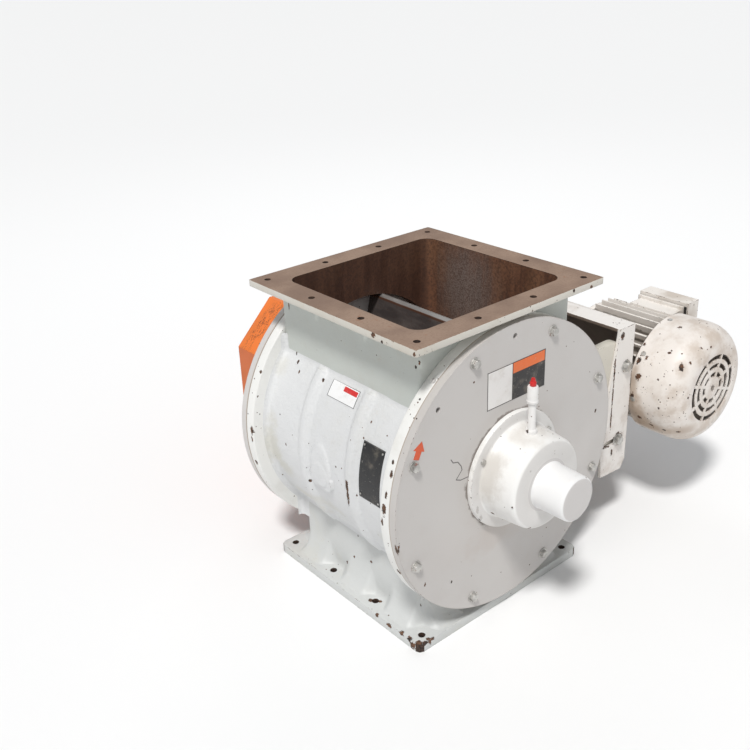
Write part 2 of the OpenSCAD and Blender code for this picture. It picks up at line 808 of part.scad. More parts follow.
// Sprocket with a hub and a keyway, in the plane of the chain
module sprocket(n, rp, x, z, bore, key, hub_out, phase) {
    difference() {
        union() {
            yextrude(chain_y - tooth_w / 2, chain_y + tooth_w / 2)
                translate([x, z])
                    rotate(phase)
                        polygon(sprocket_points(n, rp));
            ycyl(hub_out, chain_y - hub_back, chain_y + tooth_w / 2, x, z);
        }
        ycyl(bore + 2 * seat_gap, chain_y - hub_back - eps, chain_y + tooth_w, x, z);
        translate([x - key / 2, chain_y - hub_back - eps, z])
            cube([key, hub_back + tooth_w, bore / 2 + key / 2 + seat_gap]);
    }
}

module driven_sprocket() {
    color(dark_steel)
    difference() {
        sprocket(driven_teeth, driven_r, 0, axis_z, shaft_d, key_w, sprocket_hub_d, 0);
        for (i = [0 : 4])
            let (a = 36 + 72 * i)
            ycyl(window_d, chain_y - tooth_w, chain_y + tooth_w,
                 window_r * cos(a), axis_z + window_r * sin(a));
    }
}

module drive_sprocket() {
    color(dark_steel)
    sprocket(drive_teeth, drive_r, motor_x, motor_z, out_shaft_d, out_key_w, drive_hub_d, 0);
}

module sprocket_key() {
    color(steel)
    translate([motor_x - out_key_w / 2 + seat_gap, chain_y - 22,
               motor_z + out_shaft_d / 2 - out_key_w / 2 + seat_gap])
        cube([out_key_w - 2 * seat_gap, 32, out_key_w - 2 * seat_gap]);
}

// ---------- chain ----------
// The chain's path is an arc round each sprocket and two straight spans.

// Point [x, z] on the path at distance s, starting at the top of the rotor sprocket
function chain_point(s) =
    let (a = 90 - span_angle,
         p0 = [driven_r * cos(a), driven_r * sin(a)],
         q0 = [chain_center + drive_r * cos(a), drive_r * sin(a)])
    s < span_len ? p0 + (q0 - p0) * s / span_len :
    s < span_len + small_arc ?
        let (b = a - (s - span_len) / drive_r * 180 / PI)
        [chain_center + drive_r * cos(b), drive_r * sin(b)] :
    s < 2 * span_len + small_arc ?
        let (k = (s - span_len - small_arc) / span_len,
             p1 = [driven_r * cos(-a), driven_r * sin(-a)],
             q1 = [chain_center + drive_r * cos(-a), drive_r * sin(-a)])
        q1 + (p1 - q1) * k :
        let (b = -a - (s - 2 * span_len - small_arc) / driven_r * 180 / PI)
        [driven_r * cos(b), driven_r * sin(b)];

// One pair of link plates between two joints of the chain
module link_pair(p, q, gap) {
    d = q - p;
    len = norm(d);
    for (s = [-1, 1])
        yextrude(chain_y + s * (chain_inner_w / 2 + gap),
                 chain_y + s * (chain_inner_w / 2 + gap + link_t))
            translate([p[0], axis_z + p[1]])
                rotate(atan2(d[1], d[0]))
                    difference() {
                        union() {
                            circle(d = link_h, $fn = 32);
                            translate([len, 0])
                                circle(d = link_h, $fn = 32);
                            translate([0, -link_h * 0.38])
                                square([len, link_h * 0.76]);
                        }
                        circle(d = pin_d + 2 * seat_gap, $fn = 32);
                        translate([len, 0])
                            circle(d = pin_d + 2 * seat_gap, $fn = 32);
                    }
}

module chain_link_plates() {
    color(dark_steel)
    for (i = [0 : chain_links - 1])
        link_pair(chain_point(path_len * i / chain_links),
                  chain_point(path_len * ((i + 1) % chain_links) / chain_links),
                  i % 2 == 0 ? 0 : link_t + 0.2);
}

// Joints of the two straight spans: the pins with their rollers
module chain_rollers() {
    color(steel)
    for (i = [0 : chain_links - 1])
        let (s = path_len * i / chain_links, p = chain_point(s),
             clear_big = norm(p) - driven_r, clear_small = norm(p - [chain_center, 0]) - drive_r)
        if (clear_big > 22 && clear_small > 22) {
            ycyl(roller_d, chain_y - chain_inner_w / 2, chain_y + chain_inner_w / 2,
                 p[0], axis_z + p[1], 32);
            ycyl(pin_d, chain_y - chain_inner_w / 2 - 2 * link_t - 1.5,
                 chain_y + chain_inner_w / 2 + 2 * link_t + 1.5, p[0], axis_z + p[1], 32);
        }
}

// ---------- chain guard ----------

// Outline of the guard, inset by k
module guard_outline(k) {
    h = guard_half - k;
    v = guard_half_h - k;
    c = guard_chamfer - 0.6 * k;
    e = motor_x + guard_end_half - k;
    w = guard_end_half - k;
    g = guard_end_chamfer - 0.6 * k;
    translate([0, axis_z])
        polygon([[-h, -(v - c)], [-h, v - c], [-(h - c), v], [h - c, v], [e - g, w], [e, w - g],
                 [e, -(w - g)], [e - g, -w], [h - c, -v], [-(h - c), -v]]);
}

// Places of the four posts that carry the guard
function guard_posts() = [[-120, axis_z + 130], [-120, axis_z - 130],
                          [150, axis_z + 152], [150, axis_z - 152]];

module guard_back_plate() {
    color(orange)
    difference() {
        yextrude(guard_y0, guard_y0 + guard_t)
            guard_outline(guard_t + 0.5);
        ycyl(drum_end_d - 40, guard_y0 - eps, guard_y0 + guard_t + eps, 0, axis_z);
        ycyl(drive_hub_d + 24, guard_y0 - eps, guard_y0 + guard_t + eps, motor_x, motor_z);
        for (p = guard_posts())
            ycyl(post_d + 0.6, guard_y0 - eps, guard_y0 + guard_t + eps, p[0], p[1], 48);
    }
}

module guard_cover() {
    color(orange)
    difference() {
        yextrude(guard_y0, guard_y1)
            guard_outline(0);
        yextrude(guard_y0 - eps, guard_y1 - guard_t)
            guard_outline(guard_t);
        for (p = guard_posts())
            ycyl(post_d + 0.6, guard_y1 - guard_t - eps, guard_y1 + eps, p[0], p[1], 48);
    }
}

// Posts from the rear end plate through the guard, with a shoulder behind the back plate
module guard_standoffs() {
    color(steel)
    for (p = guard_posts()) {
        ycyl(post_root_d, plate_y - post_root, plate_y, p[0], p[1], 48);
        ycyl(post_shoulder_d, plate_y, guard_y0, p[0], p[1], 48);
        ycyl(post_d, guard_y0, guard_y1 + guard_nut + 2.5, p[0], p[1], 48);
        ycyl(post_spacer_d, guard_y0 + guard_t, guard_y1 - guard_t, p[0], p[1], 48);
    }
}

module guard_screws() {
    color(steel)
    for (p = guard_posts())
        difference() {
            ycyl(guard_nut_af / cos(30), guard_y1, guard_y1 + guard_nut, p[0], p[1], 6);
            ycyl(post_d + 2 * seat_gap, guard_y1 - eps, guard_y1 + guard_nut + eps, p[0], p[1], 48);
        }
}

// ---------- motor bracket ----------

// Side outline of the bracket's end flange
module bracket_end() {
    polygon([[bracket_x - bracket_flange, bracket_top], [bracket_x, bracket_top],
             [bracket_x, bracket_bottom + 20], [bracket_x - 12, bracket_bottom],
             [slot_x - slot_len / 2 - 3, bracket_bottom + 4],
             [slot_x - slot_len / 2 - 10, bracket_bottom + 86]]);
}

module motor_bracket() {
    color(white)
    difference() {
        union() {
            translate([bracket_in, -bracket_y, bracket_bottom + 18])
                cube([bracket_t, 2 * bracket_y, bracket_top - bracket_bottom - 18]);
            translate([bracket_x - bracket_flange, -bracket_y, bracket_top - bracket_t])
                cube([bracket_flange, 2 * bracket_y, bracket_t]);
            for (s = [-1, 1])
                yextrude(s * lug_y, s * bracket_y)
                    bracket_end();
        }
        for (s = [-1, 1]) {
            ycyl(bracket_bolt_d + 1, s * (lug_y - eps), s * (bracket_y + eps), pivot_x, pivot_z, 48);
            for (x = [slot_x - slot_end, slot_x + slot_end])
                ycyl(bracket_bolt_d + 1, s * (lug_y - eps), s * (bracket_y + eps), x, slot_z, 48);
            translate([slot_x - slot_end, s > 0 ? lug_y - eps : -bracket_y - eps,
                       slot_z - (bracket_bolt_d + 1) / 2])
                cube([2 * slot_end, bracket_t + 2 * eps, bracket_bolt_d + 1]);
        }
        foot_holes(foot_bolt_d + 1.5, bracket_in - eps, bracket_x + eps);
    }
}

// Pivot bolts above and clamp bolts in the slots below, at both ends
module bracket_bolts() {
    color(steel)
    for (s = [-1, 1]) {
        ybolt(bracket_bolt_d, bracket_bolt_af, bracket_bolt_head, bracket_t + lug_t,
              pivot_x, s * bracket_y, pivot_z, -s);
        ybolt(bracket_bolt_d, bracket_bolt_af, bracket_bolt_head, bracket_t + lug_t,
              clamp_x, s * bracket_y, slot_z, -s);
    }
}

// Holes along X at the four foot bolt places
module foot_holes(d, x0, x1) {
    for (y = foot_ys)
        for (z = foot_zs)
            translate([x0, y, motor_z + z])
                rotate([0, 90, 0])
                    cylinder(d = d, h = x1 - x0, $fn = 48);
}

module foot_bolts() {
    color(steel)
    for (y = foot_ys)
        for (z = foot_zs)
            translate([bracket_in, y, motor_z + z])
                rotate([0, 90, 0]) {
                    cylinder(d = foot_bolt_d, h = bracket_t + foot_h + 9, $fn = 48);
                    translate([0, 0, -8])
                        cylinder(d = foot_bolt_af / cos(30), h = 8, $fn = 6);
                    translate([0, 0, bracket_t + foot_h])
                        cylinder(d = foot_bolt_af / cos(30), h = 7, $fn = 6);
                }
}

// ---------- gear unit ----------

// Outline of the gear case: a round above, a lobe below for the countershaft
module case_outline(k) {
    r = gear_case_r - k;
    translate([motor_x, motor_z]) {
        circle(r);
        translate([0, -gear_offset])
            circle(r);
        translate([-r, -gear_offset])
            square([2 * r, gear_offset]);
    }
}

module gear_case() {
    color(motor_paint)
    difference() {
        union() {
            difference() {
                union() {
                    yextrude(gear_case_y0, gear_case_y1)
                        case_outline(0);
                    for (y = foot_ys)
                        translate([bracket_x + foot_h - 1, y - 11, motor_z - 50])
                            cube([motor_x - bracket_x - foot_h - 50, 22, 100]);
                }
                yextrude(gear_case_y0 - eps, gear_case_y1 - gear_case_wall)
                    case_outline(gear_case_wall);
            }
            ycone(output_bearing_d + 34, output_bearing_d + 16, gear_case_y1 - 1, snout_y, motor_x, motor_z);
            ycyl(output_bearing_d + 16, output_bearing_ys[0] - 2, gear_case_y1, motor_x, motor_z);
            ycyl(counter_bearing_d + 14, counter_y1 - 14, gear_case_y1 - 1, motor_x, counter_z);
            for (y = foot_ys)
                translate([bracket_x, y - foot_w / 2, motor_z - foot_len / 2])
                    cube([foot_h, foot_w, foot_len]);
        }
        ycyl(output_bearing_d + 2 * seat_gap, output_bearing_ys[0] - 3, snout_y - 13, motor_x, motor_z);
        ycyl(output_seal_d + 2 * seat_gap, snout_y - 14, snout_y + eps, motor_x, motor_z);
        ycyl(counter_bearing_d + 2 * seat_gap, counter_y1 - 15, counter_y1 + 2, motor_x, counter_z);
        foot_holes(foot_bolt_d + 1, bracket_x - eps, bracket_x + foot_h + eps);
    }
}

// Flange between gear case and motor, with the seats of the inner bearings
module gear_case_cover() {
    color(motor_paint)
    difference() {
        union() {
            yextrude(gear_case_y0 - case_cover_t, gear_case_y0)
                case_outline(0);
            ycyl(frame_d + 16, motor_y1, gear_case_y0 - 6, motor_x, motor_z);
            ycyl(counter_bearing_d + 14, gear_case_y0 - 1, counter_y0 + 14, motor_x, counter_z);
        }
        ycyl(motor_shaft_d + 4, motor_y1 - eps, gear_case_y0 + eps, motor_x, motor_z);
        ycyl(motor_bearing_d + 2 * seat_gap, motor_y1 - eps, motor_y1 + motor_bearing_w,
             motor_x, motor_z);
        ycyl(counter_bearing_d + 2 * seat_gap, counter_y0 - 2, counter_y0 + 15, motor_x, counter_z);
    }
}

module gear_output_shaft() {
    color(steel)
    difference() {
        ycyl(out_shaft_d, stage2_y - 26, chain_y + 12, motor_x, motor_z);
        translate([motor_x - out_key_w / 2, chain_y - 24, motor_z + out_shaft_d / 2 - out_key_w / 2])
            cube([out_key_w, 60, out_key_w]);
    }
}

// Toothed wheel in the gear unit; a tooth points along the angle
module wheel(n, w, y, z, bore, angle) {
    difference() {
        yextrude(y - w / 2, y + w / 2)
            translate([motor_x, z])
                rotate(angle)
                    polygon(gear_points(gear_module, n));
        ycyl(bore + 2 * seat_gap, y - w, y + w, motor_x, z);
    }
}

// Pinion on a shaft; a tooth space points along the angle
module pinion(w, y, z, angle) {
    yextrude(y - w / 2, y + w / 2)
        translate([motor_x, z])
            rotate(angle + 180 / pinion_teeth)
                polygon(gear_points(gear_module, pinion_teeth));
}

module output_wheel() {
    color(steel) wheel(wheel_teeth, gear_w2, stage2_y, motor_z, out_shaft_d, -90);
}

module countershaft() {
    color(steel) {
        ycyl(counter_shaft_d, counter_y0, counter_y1, motor_x, counter_z);
        pinion(gear_w2, stage2_y, counter_z, 90);
    }
}

module counter_wheel() {
    color(steel) wheel(wheel_teeth, gear_w1, stage1_y, counter_z, counter_shaft_d, 90);
}

// Bearings of the gear unit as plain closed rings in their seats
module gear_bearings() {
    color(steel) {
        for (y = output_bearing_ys)
            yring(output_bearing_d, out_shaft_d + 2 * run_gap, y, y + output_bearing_w,
                  motor_x, motor_z);
        for (y = [counter_y0, counter_y1 - counter_bearing_w])
            yring(counter_bearing_d, counter_shaft_d + 2 * run_gap, y, y + counter_bearing_w,
                  motor_x, counter_z);
    }
}

module output_seal() {
    color([0.15, 0.13, 0.12])
    yring(output_seal_d, out_shaft_d + 2 * run_gap, snout_y - 10, snout_y - 1, motor_x, motor_z);
}

// ---------- motor ----------

// Finned frame; the fins stop at the terminal box
module motor_frame() {
    color(motor_paint)
    difference() {
        union() {
            difference() {
                union() {
                    ycyl(frame_d, motor_y0, motor_y1, motor_x, motor_z);
                    yextrude(motor_y0 + 6, motor_y1 - 4)
                        motor_fins();
                }
                translate([box_x0 - box_depth, box_y0 - 4, box_z0 - 4])
                    cube([2 * box_depth, box_y1 - box_y0 + 20, fin_d]);
            }
            terminal_box_body();
        }
        ycyl(frame_d - 2 * frame_wall, motor_y0 - eps, motor_y1 + eps, motor_x, motor_z);
        terminal_box_hollow();
    }
}

module motor_fins() {
    translate([motor_x, motor_z])
        for (i = [0 : fin_count - 1])
            rotate(i * 360 / fin_count)
                translate([frame_d / 2 - fin_root, -fin_t / 2])
                    square([(fin_d - frame_d) / 2 + fin_root, fin_t]);
}

// Terminal box cast on the upper +X side of the motor frame
module terminal_box_body() {
    intersection() {
        union() {
            translate([box_x0 - box_depth, box_y0 + 6, box_z0])
                cube([box_depth, box_y1 - box_y0 - 12, box_z1 - box_z0 - 6]);
            translate([box_x0 - 7, box_y0 + 6, box_z0])
                cube([7, box_y1 - box_y0 - 6, box_z1 - box_z0]);
        }
        translate([box_x0 - box_depth - 1, motor_y0, box_z0 - 1])
            cube([box_depth + 1, motor_y1 - motor_y0, fin_d]);
    }
}

module terminal_box_hollow() {
    translate([box_x0 - 26, box_y0 + 18, box_z0 + 12])
        cube([26 + eps, box_y1 - box_y0 - 32, box_z1 - box_z0 - 26]);
}

// Bearing shield at the fan end, with ears that carry the fan cover
module motor_end_shield() {
    ear_r = cover_d / 2 - cover_t - seat_gap;
    color(motor_paint)
    difference() {
        union() {
            ycyl(frame_d + 8, motor_y0 - shield_t, motor_y0, motor_x, motor_z);
            ycyl(frame_bore_d, motor_y0 - 1, motor_y0 + 8, motor_x, motor_z);
            intersection() {
                ycyl(2 * ear_r, cover_y0 - 20, motor_y0 - 2, motor_x, motor_z);
                for (a = cover_screw_angles)
                    translate([motor_x, 0, motor_z])
                        rotate([0, -a, 0])
                            translate([frame_d / 2 - 6, cover_y0 - 20, -8])
                                cube([cover_d / 2, 18, 16]);
            }
        }
        ycyl(motor_bearing_d + 2 * seat_gap, motor_y0 - 4, motor_y0 + 9, motor_x, motor_z);
        ycyl(motor_shaft_d + 4, motor_y0 - shield_t - eps, motor_y0 + 9, motor_x, motor_z);
        for (a = cover_screw_angles)
            cover_screw_hole(a, cover_screw_d + 2 * seat_gap, 19, 30);
    }
}

// Radial cylinder at a cover screw: starts depth below the cover's surface
module cover_screw_hole(a, d, depth, len) {
    translate([motor_x, cover_screw_y, motor_z])
        rotate([0, -a, 0])
            translate([cover_d / 2 - depth, 0, 0])
                rotate([0, 90, 0])
                    cylinder(d = d, h = len, $fn = 32);
}

module motor_stator() {
    color([0.45, 0.30, 0.18]) {
        yring(frame_bore_d, rotor_core_d + 2 * air_gap, core_y0, core_y1, motor_x, motor_z);
        for (y = [[core_y0 - winding_len, core_y0], [core_y1, core_y1 + winding_len]])
            yring(frame_bore_d - 14, rotor_core_d + 7, y[0], y[1], motor_x, motor_z);
    }
}

module motor_rotor() {
    color(dark_steel)
    yring(rotor_core_d, motor_shaft_d + 2 * seat_gap, core_y0 - 1, core_y1 + 1, motor_x, motor_z);
}

module motor_shaft() {
    color(steel) {
        ycyl(motor_shaft_d, motor_y0 - 66, gear_case_y0 + 20, motor_x, motor_z);
        ycyl(20, gear_case_y0 + 19, stage1_y + gear_w1 / 2 + 2, motor_x, motor_z);
        pinion(gear_w1, stage1_y, motor_z, -90);
    }
}

module motor_bearings() {
    color(steel)
    for (y = [motor_y0 - 4, motor_y1])
        yring(motor_bearing_d, motor_shaft_d + 2 * run_gap, y, y + motor_bearing_w, motor_x, motor_z);
}

// Radial blade fan behind the grille
module cooling_fan() {
    color([0.12, 0.12, 0.13])
    difference() {
        union() {
            ycyl(fan_hub_d, fan_y - fan_w, fan_y, motor_x, motor_z);
            ycyl(fan_d, fan_y - 4, fan_y, motor_x, motor_z);
            for (i = [0 : 7])
                yextrude(fan_y - fan_w + 2, fan_y - 3)
                    translate([motor_x, motor_z])
                        rotate(i * 45)
                            translate([fan_hub_d / 2 - 4, -1.5])
                                square([(fan_d - fan_hub_d) / 2 + 2, 3]);
        }
        ycyl(motor_shaft_d + 2 * seat_gap, fan_y - fan_w - eps, fan_y + eps, motor_x, motor_z);
    }
}

// Pressed steel cover: straight rim, rounded shoulder and a slotted flat face
module fan_cover() {
    cr = cover_d / 2;
    gr = grille_d / 2;
    color(motor_paint)
    difference() {
        translate([motor_x, 0, motor_z])
            rotate([90, 0, 0])
                rotate_extrude($fn = 120)
                    difference() {
                        cover_profile(cr, gr, -cover_y2);
                        cover_profile(cr - cover_t, gr - 1, -cover_y2 - cover_t);
                    }
        for (ring = grille_rings)
            difference() {
                yring(2 * ring[1], 2 * ring[0], cover_y2 - eps, cover_y2 + cover_t + eps,
                      motor_x, motor_z);
                for (i = [0 : 3])
                    translate([motor_x, cover_y2, motor_z])
                        rotate([0, 45 * i + 20, 0])
                            cube([cover_d, 4 * cover_t, grille_bar], center = true);
            }
        ycyl(grille_bar, cover_y2 - eps, cover_y2 + cover_t + eps, motor_x, motor_z, 32);
        for (a = cover_screw_angles)
            cover_screw_hole(a, cover_screw_d + 1, 12, 20);
    }
}

// Half section of the cover: [radius, distance forward]
module cover_profile(cr, gr, front) {
    start = -cover_y1;
    polygon(concat([[0, -cover_y0 - (front == -cover_y2 ? 0 : 2)],
                    [cr, -cover_y0 - (front == -cover_y2 ? 0 : 2)], [cr, start]],
                   [for (a = [15 : 15 : 90])
                       [gr + (cr - gr) * cos(a), start + (front - start) * sin(a)]],
                   [[0, front]]));
}

module fan_cover_screws() {
    color(steel)
    for (a = cover_screw_angles) {
        cover_screw_hole(a, cover_screw_d, 18, 18);
        cover_screw_hole(a, cover_screw_d + 5, 0, 3);
    }
}

module terminal_box_gasket() {
    color([0.10, 0.09, 0.09])
    difference() {
        translate([box_x0, box_y0 + 1, box_z0 + 1])
            cube([gasket_t, box_y1 - box_y0 - 2, box_z1 - box_z0 - 2]);
        translate([box_x0 - eps, box_y0 + 14, box_z0 + 12])
            cube([gasket_t + 2 * eps, box_y1 - box_y0 - 28, box_z1 - box_z0 - 26]);
    }
}

// Deep lid with sloping edges
module terminal_box_lid() {
    x0 = box_x0 + gasket_t;
    x1 = x0 + box_lid;
    z0 = box_z0 - 1;
    z1 = box_z1 + 7;
    y0 = box_y0 - 2;
    y1 = box_y1 + 2;
    color(motor_paint)
    difference() {
        intersection() {
            yextrude(y0, y1)
                polygon([[x0, z0], [x1 - 8, z0], [x1, z0 + 9], [x1, z1 - 17], [x1 - 13, z1], [x0, z1]]);
            translate([0, 0, z0 - 1])
                linear_extrude(z1 - z0 + 2)
                    polygon([[x0, y0], [x1 - 13, y0], [x1, y0 + 13], [x1, y1 - 13], [x1 - 13, y1], [x0, y1]]);
        }
        translate([x0 - eps, y0 + 8, z0 + 6])
            cube([box_lid - 16, y1 - y0 - 16, z1 - z0 - 20]);
    }
}

module terminal_box_screws() {
    color(steel)
    for (y = [box_y0 + 19, box_y1 - 19])
        for (z = [box_z0 + 15, box_z1 - 18])
            translate([box_x0 + gasket_t + box_lid, y, z])
                rotate([0, 90, 0])
                    cylinder(d = 9, h = 4, $fn = 32);
}

// Plug in the cable entry, on the side of the box towards the gear unit
module conduit_plug() {
    color(dark_steel)
    ycyl(entry_d, box_y1 - 6, box_y1 + 4, box_x0 - box_depth / 2, (box_z0 + box_z1) / 2, 48);
}

// ---------- plates and labels ----------

// Curved sheet on the body between two places along Y and two angles from +X
module body_sheet(t, ys, angles) {
    far = 2 * body_r;
    middle = (angles[0] + angles[1]) / 2;
    inner = body_r + 2 * seat_gap;
    intersection() {
        yring(2 * (inner + t), 2 * inner, ys[0], ys[1], 0, axis_z);
        yextrude(ys[0] - eps, ys[1] + eps)
            translate([0, axis_z])
                polygon([[0, 0], [far * cos(angles[0]), far * sin(angles[0])],
                         [far * cos(middle), far * sin(middle)],
                         [far * cos(angles[1]), far * sin(angles[1])]]);
    }
}

module data_plate() {
    color([0.06, 0.06, 0.07]) body_sheet(data_plate_t, data_plate_ys, data_plate_angles);
}

module data_plate_rivets() {
    color([0.5, 0.5, 0.5])
    for (y = rivet_ys)
        for (a = rivet_angles)
            translate([0, y, axis_z])
                rotate([0, -a, 0])
                    translate([body_r + 2 * seat_gap + data_plate_t, 0, 0])
                        rotate([0, 90, 0])
                            cylinder(d = rivet_d, h = 1, $fn = 24);
}

// Sticker on the body, below the neck's fillet
module body_label() {
    gap = 2 * seat_gap;
    color([0.92, 0.92, 0.92])
    intersection() {
        yextrude(body_label_ys[0], body_label_ys[1])
            translate([0, axis_z])
                difference() {
                    circle(body_r + gap + label_t, $fn = 160);
                    circle(body_r + gap, $fn = 160);
                }
        translate([-body_r, body_label_ys[0] - eps, body_label_zs[0]])
            cube([body_r, body_label_ys[1] - body_label_ys[0] + 2 * eps,
                  body_label_zs[1] - body_label_zs[0]]);
    }
}

module end_plate_label() {
    color([0.92, 0.92, 0.92])
    translate([end_label_x, -plate_y - label_t, end_label_z])
        cube([end_label_w, label_t, end_label_h]);
}

// Painted-on arrow decal that shows the turning direction
module rotation_arrow() {
    color([0.80, 0.30, 0.10])
    yextrude(-plate_y - label_t, -plate_y)
        translate([plate_bolt_r * cos(arrow_angle), axis_z + plate_bolt_r * sin(arrow_angle)])
            rotate(arrow_turn)
                polygon([[-6.5, -16], [6.5, -16], [6.5, -1], [13, -1], [0, 16], [-13, -1], [-6.5, -1]]);
}

housing();
front_end_plate();
rear_end_plate();
front_plate_bolts();
rear_plate_bolts();
neck_plug();
front_bearing_housing();
rear_bearing_housing();
front_end_cap();
rear_bearing_cover();
bearing_housing_screws();
bearing_outer_rings();
bearing_inner_rings();
bearing_balls();
shaft_seals();
grease_pipe();
grease_coupling();
grease_plug();
rotor_hub();
rotor_vanes();
rotor_shaft();
rotor_key();
driven_sprocket();
drive_sprocket();
sprocket_key();
chain_link_plates();
chain_rollers();
guard_back_plate();
guard_cover();
guard_standoffs();
guard_screws();
motor_bracket();
bracket_bolts();
foot_bolts();
gear_case();
gear_case_cover();
gear_output_shaft();
output_wheel();
countershaft();
counter_wheel();
gear_bearings();
output_seal();
motor_frame();
motor_end_shield();
motor_stator();
motor_rotor();
motor_shaft();
motor_bearings();
cooling_fan();
fan_cover();
fan_cover_screws();
terminal_box_gasket();
terminal_box_lid();
terminal_box_screws();
conduit_plug();
data_plate();
data_plate_rivets();
body_label();
end_plate_label();
rotation_arrow();
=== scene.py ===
from math import cos, pi, radians, sin, sqrt

import bmesh
import bpy
import numpy as np
from mathutils import Matrix, Vector


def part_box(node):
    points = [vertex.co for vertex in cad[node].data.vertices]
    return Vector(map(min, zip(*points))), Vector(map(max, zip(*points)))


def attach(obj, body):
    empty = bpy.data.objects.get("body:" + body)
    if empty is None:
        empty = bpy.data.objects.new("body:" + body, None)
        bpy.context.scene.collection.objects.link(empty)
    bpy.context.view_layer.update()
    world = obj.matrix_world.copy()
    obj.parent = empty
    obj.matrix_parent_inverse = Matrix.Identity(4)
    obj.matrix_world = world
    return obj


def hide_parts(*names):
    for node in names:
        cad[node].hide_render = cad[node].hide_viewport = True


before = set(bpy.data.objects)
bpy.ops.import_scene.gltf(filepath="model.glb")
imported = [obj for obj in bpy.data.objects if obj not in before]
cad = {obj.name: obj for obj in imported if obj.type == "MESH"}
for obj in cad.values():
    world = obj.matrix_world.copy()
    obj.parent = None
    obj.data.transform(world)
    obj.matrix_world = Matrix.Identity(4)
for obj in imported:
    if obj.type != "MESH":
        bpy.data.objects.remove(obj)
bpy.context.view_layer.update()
mm = 0.001


# ---------- Camera, floor and lights ----------
# A camera on a stand in front of the valve's left corner, a little above its inlet.
view_turn, view_height, view_roll = radians(-38.7458), radians(24.3520), radians(-2.5185)
camera_place = Vector((-1.1012, -1.1879, 1.1849))

back = Vector((sin(view_turn) * cos(view_height), -cos(view_turn) * cos(view_height), sin(view_height)))
level = (-back).cross(Vector((0, 0, 1))).normalized()
upright = level.cross(-back)
right = cos(view_roll) * level + sin(view_roll) * upright
up = -sin(view_roll) * level + cos(view_roll) * upright

camera_data = bpy.data.cameras.new("camera")
camera_data.sensor_width = 36
camera_data.lens = 45.106
camera_data.shift_x = 0.01605
camera_data.shift_y = -0.0251
camera = bpy.data.objects.new("camera", camera_data)
camera.matrix_world = Matrix((
    (right.x, up.x, back.x, camera_place.x),
    (right.y, up.y, back.y, camera_place.y),
    (right.z, up.z, back.z, camera_place.z),
    (0, 0, 0, 1),
))
bpy.context.scene.collection.objects.link(camera)
bpy.context.scene.camera = camera

floor_mesh = bpy.data.meshes.new("floor")
floor_mesh.from_pydata([(-40, -40, 0), (40, -40, 0), (40, 40, 0), (-40, 40, 0)], [], [(0, 1, 2, 3)])
floor = bpy.data.objects.new("floor", floor_mesh)
bpy.context.scene.collection.objects.link(floor)
floor_paint = bpy.data.materials.new("floor_paint")
floor_paint.use_nodes = True
floor_paint.node_tree.nodes["Principled BSDF"].inputs["Base Color"].default_value = (0.90, 0.90, 0.90, 1)
floor_paint.node_tree.nodes["Principled BSDF"].inputs["Roughness"].default_value = 0.85
floor_mesh.materials.append(floor_paint)

world = bpy.data.worlds.new("studio")
world.use_nodes = True
world.node_tree.nodes["Background"].inputs["Color"].default_value = (0.94, 0.97, 1.0, 1)
world.node_tree.nodes["Background"].inputs["Strength"].default_value = 0.38
bpy.context.scene.world = world
bpy.context.scene.view_settings.view_transform = "Standard"


def soft_light(name, place, aim, size, power, tint):
    """Square lamp at place whose beam points at aim."""
    lamp = bpy.data.lights.new(name, "AREA")
    lamp.shape = "SQUARE"
    lamp.size = size
    lamp.energy = power
    lamp.color = tint
    holder = bpy.data.objects.new(name, lamp)
    holder.location = place
    holder.rotation_euler = (Vector(aim) - Vector(place)).to_track_quat("-Z", "Y").to_euler()
    bpy.context.scene.collection.objects.link(holder)


overhead = bpy.data.lights.new("overhead_light", "SUN")
overhead.energy = 2.50
overhead.angle = radians(9)
overhead.color = (1.0, 0.99, 0.975)
overhead_holder = bpy.data.objects.new("overhead_light", overhead)
overhead_holder.rotation_euler = Vector((-0.42, -0.30, 0.86)).to_track_quat("Z", "Y").to_euler()
bpy.context.scene.collection.objects.link(overhead_holder)
soft_light("front_light", (0.8, -2.8, 2.4), (0.2, 0, 0.3), 2.0, 4, (1.0, 0.95, 0.92))
soft_light("back_light", (1.6, 1.9, 2.8), (0.2, 0, 0.4), 1.6, 10, (0.97, 0.98, 1.0))


# ---------- Housing: painted skin of the casting ----------
# The body is a cast iron barrel with an inlet neck above and an outlet neck below, poured in one piece
# in sand. Its outside is sprayed with thick white enamel, chipped and rust-stained by years of use.
axis_z = 304 * mm
body_r = 242.9 * mm
half_length = 208.8 * mm
ring_r = 277 * mm
ring_back = 186.6 * mm
neck_x = 185.4 * mm
foot_x = 176.4 * mm
neck_y = 187.6 * mm
neck_fillet = 18 * mm
foot_fillet = 26 * mm
rib_place = 68 * mm
plate_face_y = 224.7 * mm
ring_face_y = 208.7 * mm
flange_half = 228.6 * mm
flange_row = 203.2 * mm
outlet_half_x, outlet_half_y = 219.5 * mm, 214 * mm
outlet_row_x, outlet_row_y = 195.5 * mm, 194 * mm
inlet_half = 177.8 * mm
outlet_half = 152.4 * mm
opening_corner = 25 * mm
skin_gap = 0.15 * mm
bore_r = 215.9 * mm
motor_x = 525.88 * mm
housing_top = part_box("housing")[1].z


def cells(rows, columns, closed, flip):
    """Corner numbers of a grid's four-sided cells, as (rows, columns, 4). closed joins the last column to the
    first."""
    i = np.arange(rows - 1)[:, None] * columns
    j = np.arange(columns if closed else columns - 1)[None, :]
    beside, below = (j + 1) % columns, i + columns
    corners = np.stack(np.broadcast_arrays(i + j, i + beside, below + beside, below + j), -1)
    return corners[..., ::-1] if flip else corners


def surface(points, closed=False, flip=False, keep=None):
    """A (rows, columns, 3) grid of places as (places, faces); keep leaves out cells that are False."""
    faces = cells(points.shape[0], points.shape[1], closed, flip)
    faces = faces.reshape(-1, 4) if keep is None else faces[keep]
    return points.reshape(-1, 3), faces.tolist()


